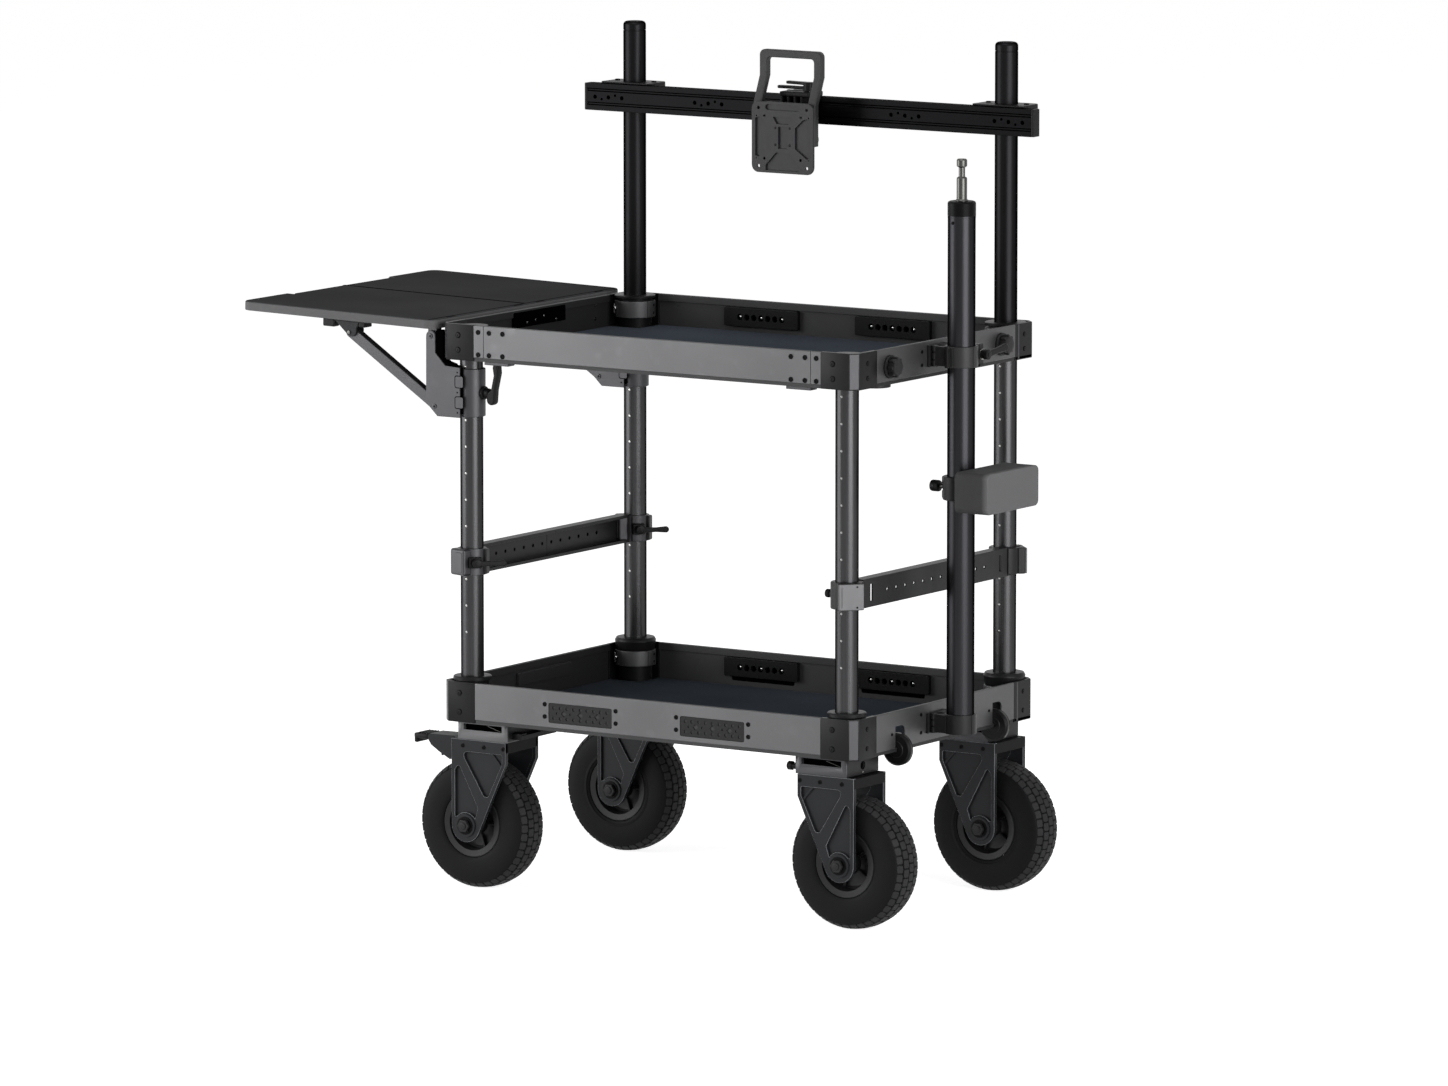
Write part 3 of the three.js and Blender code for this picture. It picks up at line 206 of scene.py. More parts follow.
def modify(piece, kind, **settings):
    """Adds a modifier, sets it and applies it."""
    modifier = piece.modifiers.new(kind.lower(), kind)
    for key, value in settings.items():
        setattr(modifier, key, value)
    pick(piece)
    bpy.ops.object.modifier_apply(modifier=modifier.name)
    return piece


def soften(piece, radius, steps=2, angle=BEVEL_ANGLE):
    """Rounds the piece's sharp edges."""
    if radius <= 0:
        return piece
    return modify(piece, "BEVEL", width=radius * MM, segments=steps, limit_method="ANGLE",
                  angle_limit=math.radians(angle), harden_normals=False)


def block(name, xs, ys, zs, radius=0.0, steps=2):
    """A box between two values on each axis, with rounded edges."""
    deselect()
    centre = spot(sum(xs) / 2, sum(ys) / 2, sum(zs) / 2)
    bpy.ops.mesh.primitive_cube_add(size=1, location=centre)
    piece = bpy.context.active_object
    piece.name = name
    piece.scale = (abs(xs[1] - xs[0]) * MM, abs(ys[1] - ys[0]) * MM, abs(zs[1] - zs[0]) * MM)
    settle(piece)
    return soften(piece, radius, steps)


def prism(name, outline, axis, low, high, radius=0.0, steps=2):
    """A flat outline extruded along an axis."""
    deselect()
    bpy.ops.mesh.primitive_circle_add(vertices=len(outline), radius=1, fill_type="NGON")
    piece = bpy.context.active_object
    piece.name = name
    for vertex, (first, second) in zip(piece.data.vertices, outline):
        vertex.co = spot(*laid(axis, first, second, low))
    bpy.ops.object.mode_set(mode="EDIT")
    bpy.ops.mesh.select_all(action="SELECT")
    reach = Vector(laid(axis, 0, 0, (high - low) * MM))
    bpy.ops.mesh.extrude_region_move(TRANSFORM_OT_translate={"value": reach})
    bpy.ops.mesh.select_all(action="SELECT")
    bpy.ops.mesh.normals_make_consistent(inside=False)
    bpy.ops.object.mode_set(mode="OBJECT")
    return soften(piece, radius, steps)


def turned(name, profile, axis, centre, steps, closed=False):
    """A profile of (radius, along) points spun about an axis through a centre."""
    deselect()
    bpy.ops.mesh.primitive_circle_add(vertices=len(profile), radius=1, fill_type="NOTHING")
    piece = bpy.context.active_object
    piece.name = name
    across = {"x": (0, 1, 0), "y": (1, 0, 0), "z": (1, 0, 0)}[axis]
    along = Vector(laid(axis, 0, 0, 1))
    middle = spot(*centre)
    for vertex, (radius, place) in zip(piece.data.vertices, profile):
        vertex.co = middle + Vector(across) * radius * MM + along * place * MM
    if not closed:
        last = {0, len(profile) - 1}
        for edge in piece.data.edges:
            edge.select = set(edge.vertices) == last
        for vertex in piece.data.vertices:
            vertex.select = False
        bpy.ops.object.mode_set(mode="EDIT")
        bpy.ops.mesh.select_mode(type="EDGE")
        bpy.ops.mesh.delete(type="EDGE")
        bpy.ops.object.mode_set(mode="OBJECT")
    bpy.ops.object.mode_set(mode="EDIT")
    bpy.ops.mesh.select_mode(type="VERT")
    bpy.ops.mesh.select_all(action="SELECT")
    bpy.ops.mesh.spin(steps=steps, angle=FULL_TURN, center=middle, axis=along)
    bpy.ops.mesh.select_all(action="SELECT")
    bpy.ops.mesh.remove_doubles(threshold=0.00001)
    bpy.ops.mesh.normals_make_consistent(inside=False)
    bpy.ops.object.mode_set(mode="OBJECT")
    return piece


def rod(name, axis, at, radius, low, high, rounded, steps, bore=0.0):
    """A round bar or tube along an axis with rounded rims, over the other two coordinates."""
    edge = max(min(rounded, (high - low) / 2 - 0.01), 0.0)
    rim = [(radius, low + edge), (radius, high - edge)]
    if edge:
        corner = edge * (1 - math.sqrt(0.5))
        rim = [(radius - edge, low), (radius - corner, low + corner), *rim,
               (radius - corner, high - corner), (radius - edge, high)]
    profile = [*rim, (bore, high), (bore, low)] if bore else [(0, low), *rim, (0, high)]
    return turned(name, profile, axis, laid(axis, *at, 0), steps, closed=bool(bore))


def joined(name, *pieces):
    """One piece made of several; the first one's place in the list is kept, and gaps are passed over."""
    pieces = [piece for piece in pieces if piece]
    pick(*pieces)
    if len(pieces) > 1:
        bpy.ops.object.join()
    piece = bpy.context.view_layer.objects.active
    piece.name = name
    return piece


def carve(piece, *cutters, keep=False):
    """Cuts the cutters' shapes out of the piece."""
    cutter = joined("cutter", *cutters) if len(cutters) > 1 else cutters[0]
    modify(piece, "BOOLEAN", operation="DIFFERENCE", solver="EXACT", object=cutter, use_self=len(cutters) > 1)
    if not keep:
        bpy.data.objects.remove(cutter)
    return piece


def copied(piece, name, matrix):
    """A copy with its own mesh, moved by a matrix."""
    copy = piece.copy()
    copy.data = piece.data.copy()
    copy.name = name
    bpy.context.scene.collection.objects.link(copy)
    copy.data.transform(matrix)
    if matrix.determinant() < 0:
        copy.data.flip_normals()
    return copy


def mirror_matrix(sx, sy):
    """Mirrors about the posts' middle."""
    scale = Matrix.Diagonal((sx, sy, 1, 1))
    return Matrix.Translation(ORIGIN) @ scale @ Matrix.Translation(-ORIGIN)


def mirror_about(x):
    """Mirrors across the upright plane at x."""
    place = spot(x, 0, 0)
    return Matrix.Translation(place) @ Matrix.Diagonal((-1, 1, 1, 1)) @ Matrix.Translation(-place)


def moved(x, y, z, turn, axis="Z"):
    """A matrix that carries what is modelled about the posts' middle to a place, turned in degrees."""
    turning = Matrix.Rotation(math.radians(turn), 4, axis)
    return Matrix.Translation(spot(x, y, z)) @ turning @ Matrix.Translation(-ORIGIN)


def turn_at(x, y, z, turn, axis):
    """A matrix that turns what is modelled in place about an axis through a point, in degrees."""
    place = spot(x, y, z)
    turning = Matrix.Rotation(math.radians(turn), 4, axis)
    return Matrix.Translation(place) @ turning @ Matrix.Translation(-place)


def spread(piece, name, matrices):
    """One piece made of a copy of the given one at each matrix; the given one goes."""
    copies = [copied(piece, f"{name}_copy", matrix) for matrix in matrices]
    bpy.data.objects.remove(piece)
    return joined(name, *copies)


def aim(place, screw, arm=None):
    """A matrix that carries local +Z to screw and local +X to arm, at a place in millimetres."""
    z = Vector(screw).normalized()
    guide = Vector(arm) if arm else (Vector((0, 0, 1)) if abs(z.z) < 0.9 else Vector((1, 0, 0)))
    x = (guide - z * guide.dot(z)).normalized()
    y = z.cross(x)
    turn = Matrix((x, y, z)).transposed().to_4x4()
    return Matrix.Translation(spot(*place)) @ turn @ Matrix.Translation(-ORIGIN)


def arc(centre, radius, start, end, steps=8):
    """Points on an arc, its angles in degrees."""
    turn = [math.radians(start + (end - start) * i / steps) for i in range(steps + 1)]
    return [(centre[0] + radius * math.cos(t), centre[1] + radius * math.sin(t)) for t in turn]


def regular(centre, radius, sides):
    """The corners of a regular outline about a centre."""
    turn = [i * FULL_TURN / sides for i in range(sides)]
    return [(centre[0] + radius * math.cos(t), centre[1] + radius * math.sin(t)) for t in turn]


def round_rectangle(xs, ys, radius, steps=6):
    """The outline of a rectangle with round corners."""
    low, high = (xs[0] + radius, ys[0] + radius), (xs[1] - radius, ys[1] - radius)
    return (arc((high[0], low[1]), radius, -90, 0, steps) + arc(high, radius, 0, 90, steps)
            + arc((low[0], high[1]), radius, 90, 180, steps) + arc(low, radius, 180, 270, steps))


# Finishes

class Value:
    """A number, colour or vector that a finish's nodes pass on; sums on it add Math nodes."""

    def __init__(self, finish, socket):
        self.finish = finish
        self.socket = socket

    def _sum(self, operation, first, second):
        return self.finish.node("ShaderNodeMath", {"operation": operation}, {0: first, 1: second})

    def __add__(self, other):
        return self._sum("ADD", self, other)

    def __radd__(self, other):
        return self._sum("ADD", other, self)

    def __sub__(self, other):
        return self._sum("SUBTRACT", self, other)

    def __rsub__(self, other):
        return self._sum("SUBTRACT", other, self)

    def __mul__(self, other):
        return self._sum("MULTIPLY", self, other)

    def __rmul__(self, other):
        return self._sum("MULTIPLY", other, self)


class Finish:
    """A node material under construction, or the shading of a world that is given."""

    def __init__(self, name, world=None):
        self.material = world or bpy.data.materials.new(name)
        self.material.use_nodes = True
        self.tree = self.material.node_tree
        self.shader = self.tree.nodes.get("Principled BSDF")

    def node(self, kind, settings=None, values=None, output=0):
        """Adds a node with its settings, then its sockets' values or links; gives one of its outputs."""
        made = self.tree.nodes.new(kind)
        for key, value in (settings or {}).items():
            setattr(made, key, value)
        for key, value in (values or {}).items():
            self.feed(made.inputs[key], value)
        return Value(self, made.outputs[output])

    def feed(self, socket, value):
        """Links a socket to a value of the nodes, or sets it."""
        if isinstance(value, Value):
            self.tree.links.new(value.socket, socket)
        else:
            socket.default_value = value

    def place(self):
        return self.node("ShaderNodeTexCoord", output="Object")

    def stretched(self, scale):
        return self.node("ShaderNodeMapping", values={"Vector": self.place(), "Scale": scale})

    def noise(self, scale, detail=2.0, vector=None, roughness=0.5):
        values = {"Vector": vector or self.place(), "Scale": scale, "Detail": detail, "Roughness": roughness}
        return self.node("ShaderNodeTexNoise", values=values)

    def ramp(self, value, low, high):
        """The value cut to the range between low and high, as 0 to 1."""
        return self.node("ShaderNodeMapRange", values={"Value": value, "From Min": low, "From Max": high})

    def mix(self, factor, first, second):
        """A colour between two, each a plain colour or a value of the nodes."""
        first, second = [(*each, 1) if isinstance(each, tuple) else each for each in (first, second)]
        values = {"Factor": factor, 6: first, 7: second}
        return self.node("ShaderNodeMix", {"data_type": "RGBA"}, values, output=2)

    def bump(self, height, strength, distance):
        """A normal tilted by a height; the distance is in metres."""
        values = {"Height": height, "Strength": strength, "Distance": distance}
        return self.node("ShaderNodeBump", values=values)

    def shade(self, **sockets):
        """Feeds the shader's sockets, named with _ for a space, and gives the material."""
        for name, value in sockets.items():
            self.feed(self.shader.inputs[name.replace("_", " ")], value)
        return self.material


def tinted(colour, share):
    """A colour made lighter or darker by a factor."""
    return tuple(min(1.0, c * share) for c in colour)


def powder_coat(name, colour, roughness, grain=900, metallic=0.0, specular=0.2):
    """Baked paint with a fine orange-peel grain, faint clouding and rubbed patches."""
    f = Finish(name)
    cloud = f.noise(7, 3)
    grit = f.noise(grain, 2)
    rub = f.ramp(f.noise(38, 4), 0.58, 0.72)
    base = f.mix(f.ramp(cloud, 0.3, 0.7), tinted(colour, 0.92), tinted(colour, 1.08))
    worn = f.mix(rub * 0.35, base, tinted(colour, 1.2))
    return f.shade(Base_Color=worn, Metallic=metallic, Specular_IOR_Level=specular,
                   Roughness=roughness + (grit - 0.5) * 0.2 - rub * 0.05, Normal=f.bump(grit, 0.3, 0.00004))


def anodised(name, colour, roughness, axis=2):
    """Anodised metal with fine drawn lines along one axis."""
    f = Finish(name)
    scale = [420.0, 420.0, 420.0]
    scale[axis] = 6.0
    lines = f.noise(1, 3, f.stretched(tuple(scale)))
    smear = f.noise(9, 3)
    base = f.mix(f.ramp(lines, 0.25, 0.75), tinted(colour, 0.9), tinted(colour, 1.1))
    base = f.mix(f.ramp(smear, 0.55, 0.8) * 0.3, base, tinted(colour, 1.2))
    return f.shade(Base_Color=base, Metallic=0.9, Specular_IOR_Level=0.0, Specular_Tint=(0.2, 0.2, 0.2, 1),
                   Roughness=roughness + (lines - 0.5) * 0.16 + (smear - 0.5) * 0.1,
                   Normal=f.bump(lines, 0.06, 0.00002))


def cast_metal(name, colour, roughness, specular=0.2):
    """Sand-textured casting under satin paint."""
    f = Finish(name)
    pebbles = f.noise(420, 3, roughness=0.6)
    cloud = f.noise(16, 3)
    base = f.mix(f.ramp(cloud, 0.3, 0.7), tinted(colour, 0.88), tinted(colour, 1.12))
    return f.shade(Base_Color=base, Specular_IOR_Level=specular,
                   Roughness=roughness + (pebbles - 0.5) * 0.28, Normal=f.bump(pebbles, 0.35, 0.00008))


def box_cover_with_painted_light(name, colour, face, depth):
    """Fine-grained cover, pale on its broad face and dark round the rest: painted light and shade."""
    f = Finish(name)
    grain = f.noise(520, 3)
    across = f.node("ShaderNodeSeparateXYZ", values={"Vector": f.place()}, output="X")
    # Painted light: the broad face keeps the full colour, the rest is darkened as shade
    pale = f.ramp(across, face - depth, face - depth * 0.3)
    base = f.mix(pale, tinted(colour, 0.32), colour)
    return f.shade(Base_Color=f.mix(grain * 0.3, base, tinted(colour, 0.8)), Specular_IOR_Level=0.08,
                   Roughness=0.72 + (grain - 0.5) * 0.2, Normal=f.bump(grain, 0.35, 0.0002))


def moulded_plastic(name, colour, roughness, specular):
    """Satin plastic with a faint spark-eroded grain."""
    f = Finish(name)
    grain = f.noise(1400, 1)
    cloud = f.noise(22, 2)
    base = f.mix(f.ramp(cloud, 0.35, 0.65), tinted(colour, 0.9), tinted(colour, 1.12))
    return f.shade(Base_Color=base, Specular_IOR_Level=specular,
                   Roughness=roughness + (grain - 0.5) * 0.16 + (cloud - 0.5) * 0.1,
                   Normal=f.bump(grain, 0.2, 0.00006))


def polished(name, colour, roughness=0.16):
    """Bright plated metal with turning lines and faint handling marks."""
    f = Finish(name)
    rings = f.noise(1, 2, f.stretched((40.0, 40.0, 1600.0)))
    marks = f.noise(60, 4)
    base = f.mix(f.ramp(marks, 0.4, 0.75) * 0.4, colour, tinted(colour, 0.82))
    return f.shade(Base_Color=base, Metallic=1.0, Roughness=roughness + (rings - 0.5) * 0.1 + marks * 0.06,
                   Normal=f.bump(rings, 0.1, 0.00004))


def tyre_rubber(name, colour):
    """Matt rubber, a little dusty in patches."""
    f = Finish(name)
    fine = f.noise(700, 3)
    dust = f.ramp(f.noise(26, 4), 0.45, 0.75)
    base = f.mix(dust * 0.4, tinted(colour, 0.85), tinted(colour, 1.5))
    return f.shade(Base_Color=base, Specular_IOR_Level=0.1, Roughness=0.62 + (fine - 0.5) * 0.2,
                   Normal=f.bump(fine, 0.3, 0.0002))


def floor_mat(name, colour):
    """A rubber mat with a small woven pebble."""
    f = Finish(name)
    cells = f.node("ShaderNodeTexVoronoi", values={"Vector": f.place(), "Scale": 330.0})
    cloud = f.noise(5, 3)
    base = f.mix(f.ramp(cloud, 0.3, 0.7), tinted(colour, 0.85), tinted(colour, 1.15))
    base = f.mix(f.ramp(cells, 0.2, 0.8) * 0.35, base, tinted(colour, 0.6))
    return f.shade(Base_Color=base, Specular_IOR_Level=0.0, Roughness=0.7 + (cells - 0.5) * 0.12,
                   Normal=f.bump(cells, 0.3, 0.0003))


def shelf_board(name, colour):
    """Phenolic board with a fine mesh print."""
    f = Finish(name)
    u = f.node("ShaderNodeTexWave", {"bands_direction": "X"}, {"Vector": f.place(), "Scale": 160.0})
    v = f.node("ShaderNodeTexWave", {"bands_direction": "Y"}, {"Vector": f.place(), "Scale": 160.0})
    mesh = u * v
    cloud = f.noise(6, 3)
    base = f.mix(f.ramp(cloud, 0.3, 0.7), tinted(colour, 0.92), tinted(colour, 1.1))
    base = f.mix(mesh * 0.15, base, tinted(colour, 1.3))
    return f.shade(Base_Color=base, Specular_IOR_Level=0.0, Roughness=0.6 + (cloud - 0.5) * 0.16,
                   Normal=f.bump(mesh, 0.2, 0.0001))


FINISHES = {}


def make_finishes(colours):
    """Every finish of the cart, by name."""
    shade = {key: tuple(getattr(colours, key)) for key in CartColours.__annotations__}
    FINISHES.update(
        tray=powder_coat("tray_paint", shade["tray"], 0.44, metallic=0.85),
        liner=powder_coat("tray_inside", shade["liner"], 0.5, specular=0.15),
        # Painted light: the end walls' inside is lighter than the side walls'
        back_wall=powder_coat("tray_back_wall", shade["back_wall"], 0.5, specular=0.15),
        corner=powder_coat("corner_paint", shade["corner"], 0.4, 700, specular=0.12),
        post=anodised("post_anodising", shade["post"], 0.28),
        black_tube=anodised("black_tube_anodising", shade["black_tube"], 0.34),
        # Painted light: the mast's anodising is lighter than the other black tubes'
        mast_tube=anodised("mast_anodising", shade["mast"], 0.3),
        # A darker copy of the black tubes' anodising for the bar: painted shade
        black_bar=anodised("black_bar_anodising", tinted(shade["black_tube"], 0.55), 0.36, axis=0),
        fitting=powder_coat("fitting_paint", shade["fitting"], 0.42, 800, specular=0.16),
        bracket=powder_coat("bracket_paint", shade["bracket"], 0.42, 800, metallic=0.7),
        casting=cast_metal("monitor_casting", shade["casting"], 0.44),
        fork=cast_metal("fork_casting", shade["fork"], 0.46, specular=0.14),
        # Painted highlight for the forks' rounded edges
        fork_edge=cast_metal("fork_rib_edge", shade["fork_edge"], 0.4, specular=0.3),
        rim=cast_metal("rim_casting", shade["rim"], 0.42),
        rubber=tyre_rubber("tyre_rubber", shade["rubber"]),
        tread=tyre_rubber("tyre_tread_rubber", shade["tread"]),
        shelf=shelf_board("shelf_face", shade["shelf"]),
        shelf_edge=powder_coat("shelf_edge", screen_colour("545455"), 0.5, 900, specular=0.1),
        # Painted light and shade on the side box: pale broad face, dark elsewhere
        side_box=box_cover_with_painted_light("side_box_cover", shade["side_box"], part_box("side_box")[1].x, 0.011),
        mat=floor_mat("floor_mat", shade["mat"]),
        plastic=moulded_plastic("black_plastic", shade["plastic"], 0.4, 0.1),
        # Black for dark parts and joints, and painted shade: dark sheets set in recesses, holes and gaps
        void=moulded_plastic("black_recess", screen_colour("030303"), 0.7, 0.0),
        bright=polished("bright_pin", screen_colour("8c8c8a")),
        steel=polished("plated_steel", screen_colour("464644"), 0.26),
        screw=moulded_plastic("black_screw", screen_colour("070708"), 0.4, 0.05),
        mount_block=powder_coat("mount_block", shade["tray"], 0.5, 800, metallic=0.85),
    )


def finished(piece, finish, body, replaces=()):
    """Shades, paints and seats a piece on its body. A piece that has its paint already keeps it."""
    pick(piece)
    bpy.ops.object.shade_smooth_by_angle(angle=math.radians(SMOOTH_ANGLE))
    modify(piece, "WEIGHTED_NORMAL", keep_sharp=True)
    if not piece.data.materials:
        piece.data.materials.append(FINISHES[finish])
    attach(piece, body)
    if replaces:
        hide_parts(*replaces)


def dress(node, finish, radius, steps):
    """Rounds a frame node's edges with modifiers that stay live, and gives it its finish."""
    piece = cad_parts[node]
    for kind, settings in (
        ("WELD", {"merge_threshold": 0.00001}),
        ("DECIMATE", {"decimate_type": "DISSOLVE", "angle_limit": math.radians(1)}),
        ("BEVEL", {"width": radius * MM, "segments": steps, "limit_method": "ANGLE",
                   "angle_limit": math.radians(NODE_BEVEL_ANGLE), "use_clamp_overlap": True}),
    ):
        modifier = piece.modifiers.new(kind.lower(), kind)
        for key, value in settings.items():
            setattr(modifier, key, value)
    pick(piece)
    bpy.ops.object.shade_smooth_by_angle(angle=math.radians(NODE_SMOOTH_ANGLE))
    piece.data.materials.clear()
    piece.data.materials.append(FINISHES[finish])


# Small fittings

def screw_head(radius, depth, socket=0.55):
    """A button-headed screw at the posts' middle, its head towards +Z, with a six-sided socket."""
    head = rod("screw_head", "z", (0, 0), radius, 0, depth, min(0.9, depth * 0.6), 20)
    return carve(head, prism("socket", regular((0, 0), radius * socket, 6), "z", depth * 0.35, depth + 1))


def let_in(places, direction, depth):
    """The matrices of like fittings at several places, all facing one way and let in by a depth."""
    inward = Vector(direction).normalized() * depth
    return [aim(Vector(place) - inward, direction) for place in places]


def screws(name, places, direction, body, radius=3.4, depth=1.8, finish="screw"):
    """Like screws at several places, all facing one way."""
    finished(spread(screw_head(radius, depth), name, let_in(places, direction, 0.2)), finish, body)


def ringed_screws(name, places, direction, body, radius=3.6):
    """Screws in the casting's own colour, each in a thin dark ring of painted shade."""
    frames = let_in(places, direction, 0.3)
    finished(spread(screw_head(radius, 1.3, 0.5), name, frames), "corner", body)
    # The dark ring is painted shade in the gap round each head
    ring = rod("ring", "z", (0, 0), radius + 0.9, 0, 0.7, 0.2, 24, radius + 0.1)
    finished(spread(ring, f"{name}_rings", frames), "void", body)


# Each ratchet lever's hub radius, height, reach, grip radius and rise of the arm
LEVERS = {"mast": (8, 13, 56, 6.2, 1.0), "left": (7, 11, 46, 5, 0.0), "right": (6.5, 11, 46, 5, 0.0)}


def clamp_lever(name, place, screw, arm, body, kind):
    """A ratchet lever: knurled hub, cranked arm and a rounded grip end. It stands for its body's own node."""
    hub, height, reach, grip, rise = LEVERS[kind]
    base = rod("hub_base", "z", (0, 0), hub * 0.8, 0, height * 0.45, 0.6, 28)
    cap = rod("hub_cap", "z", (0, 0), hub, height * 0.35, height, 1.6, 28)
    button = rod("hub_button", "z", (0, 0), hub * 0.42, height - 1, height + 0.8, 0.5, 20)
    outline = (arc((0, 0), hub * 0.92, 110, 250)
               + [(hub * 1.3, -hub * 0.6), (reach * 0.55, -grip * 0.72)]
               + arc((reach - grip, 0), grip, -80, 80, 10)
               + [(reach * 0.55, grip * 0.72), (hub * 1.3, hub * 0.6)])
    blade = prism("blade", outline, "z", height - 6.5, height - 0.6, 1.8, 3)
    for vertex in blade.data.vertices:
        along = (vertex.co.x - ORIGIN.x) / MM
        if along > hub:
            vertex.co.z += rise * MM * min(1, (along - hub) / (reach - hub)) ** 1.5
    made = joined(name, base, cap, button, blade)
    made.data.transform(aim(place, screw, arm))
    finished(made, "plastic", body, (body,))


# Trays

RAIL = {"wall": 3.0, "skin": 2.4, "hem": 6.5, "hem_height": 11.0, "lip": 5.0, "lip_step": 1.2, "end_gap": 0.3}

HOLE_BLOCK = {
    "length": 137.0, "height": 30.0, "depth": 8.0, "x": 120.0, "right_shift": 1.5, "drop": 12.0,
    "pitch": 12.9, "holes": 7, "hole": 5.0, "stud": 2.3,
}

# The plates on the inside of the left walls
WALL_PLATE = {
    "upper": {"ys": (-70, 73), "zs": (852, 876), "studs": [(-34, 858), (-11, 860), (12, 864), (46, 856)]},
    "lower": {"ys": (-60, 89), "zs": (292, 311), "studs": []},
}

# The perforated plates let into the lower tray's rails
PLATE = {
    "x": 120.0, "length": 116.0, "low": 277.0, "high": 308.0, "columns": 9, "pitch": 12.2, "hole": 2.7,
    "row_inset": 7.5, "small_holes": (-43, -18.3, 18.3, 43),
    "diamonds": ((0, 5.2), (-30.5, 5.0), (30.5, 5.0)),
}

ROLLER = {"y": (-133.0, 147.0), "r": 25.0, "width": 12.0, "z": 267.0, "low": 270.0, "high": 303.0}

BUMPER = {"places": ((-164, 28), (156, 26)), "flange": 17.6, "body": 13.2, "nut": 8}


def rail(deck_name, deck, side):
    """One folded wall of a tray as its outer skin and its dark inside; side is front, back, left or right."""
    bottom, top = deck["bottom"], deck["top"]
    step, wall, skin, hem = RAIL["lip_step"], RAIL["wall"], RAIL["skin"], RAIL["hem"]
    lip, hem_low = bottom + RAIL["lip"], top - RAIL["hem_height"]
    outlines = {
        "skin": [(-step, lip), (0, lip + 1), (0, top - 1), (-1, top), (-skin, top), (-skin, lip)],
        "inside": [(-step, bottom), (-step, lip + 0.3), (-2, lip + 0.3), (-2, top - 0.5), (-hem, top - 0.5),
                   (-hem, hem_low), (-wall, hem_low), (-wall, bottom)],
    }
    sign = {**ENDS, **SIDES}[side]
    axis, face, across = ("x", TRAY_Y, TRAY_X) if side in ENDS else ("y", TRAY_X, TRAY_Y)
    half = across - CORNER_LEG - RAIL["end_gap"]
    made = []
    for part, outline in outlines.items():
        flat = [(sign * (face + out), up) for out, up in outline]
        made.append(prism(f"{deck_name}_rail_{part}_{side}", flat, axis, -half, half, 0.5))
    return made


def tray_floor(name, deck, low, high, inset, radius):
    """A floor sheet cut out at the four corners."""
    x, y = TRAY_X - inset, TRAY_Y - inset
    notch_x, notch_y = TRAY_X - CORNER_LEG - 1, TRAY_Y - CORNER_LEG - 1
    outline = [(-notch_x, -y), (notch_x, -y), (notch_x, -notch_y), (x, -notch_y),
               (x, notch_y), (notch_x, notch_y), (notch_x, y), (-notch_x, y),
               (-notch_x, notch_y), (-x, notch_y), (-x, -notch_y), (-notch_x, -notch_y)]
    return prism(name, outline, "z", deck["bottom"] + low, deck["bottom"] + high, radius)


def hole_blocks(deck_name, deck):
    """The two black blocks of holes inside the back wall; every third hole has a bright stud."""
    size = HOLE_BLOCK
    face = TRAY_Y - RAIL["wall"]
    front = face - size["depth"]
    z = deck["top"] - size["drop"] - size["height"] / 2
    half, reach = size["height"] / 2, size["length"] / 2
    for side, sx in SIDES.items():
        name = f"{deck_name}_hole_block_{side}"
        middle = sx * size["x"] + (size["right_shift"] if sx > 0 else 0)
        outline = round_rectangle((middle - reach, middle + reach), (z - half, z + half), 3)
        body = prism(name, outline, "y", front, face - 0.1, 0.8)
        xs = [middle + (i - (size["holes"] - 1) / 2) * size["pitch"] for i in range(size["holes"])]
        wells = [rod("well", "y", (x, z), size["hole"], face - 20, face - 1.5, 0, 20) for x in xs]
        floors = [rod("floor", "y", (x, z), size["hole"] - 0.1, face - 3, face - 1, 0, 20) for x in xs]
        studs = [rod("stud", "y", (x + 1, z), size["stud"], front + 1, face - 2, 0.8, 16) for x in xs[::3]]
        carve(body, joined("wells", *wells))
        finished(body, "plastic", "frame")
        # The dark discs at the bottom of the holes are painted shade
        finished(joined(f"{name}_recesses", *floors), "void", "frame")
        finished(joined(f"{name}_studs", *studs), "bright", "frame")


def upper_face(end, sy, skin):
    """An upper front or back rail's seams, its columns of two screws and the tabs under it."""
    bottom, top = UPPER["bottom"], UPPER["top"]
    seams = [block("seam", (sx * 296 - 0.5, sx * 296 + 0.5), (sy * TRAY_Y - 0.9, sy * TRAY_Y + 0.9),
                   (bottom + 6, top + 1)) for sx in (-1, 1)]
    carve(skin, *seams)
    places = [(sx * x, sy * TRAY_Y, z) for sx in (-1, 1) for x in (261, 286, 306)
              for z in (top - 10.5, bottom + 10.5)]
    radius = bpy.context.scene.cart_sizes.rail_screw
    screws(f"upper_rail_screws_{end}", places, (0, sy, 0), "frame", radius, 1.2)
    tabs = [block("tab", (x - 22, x + 22), span(sy, 240, 258.3), (bottom - 4.5, bottom), 0.8)
            for x in (-273.5, 273.5)]
    finished(joined(f"upper_tabs_{end}", *tabs), "bracket", "frame")


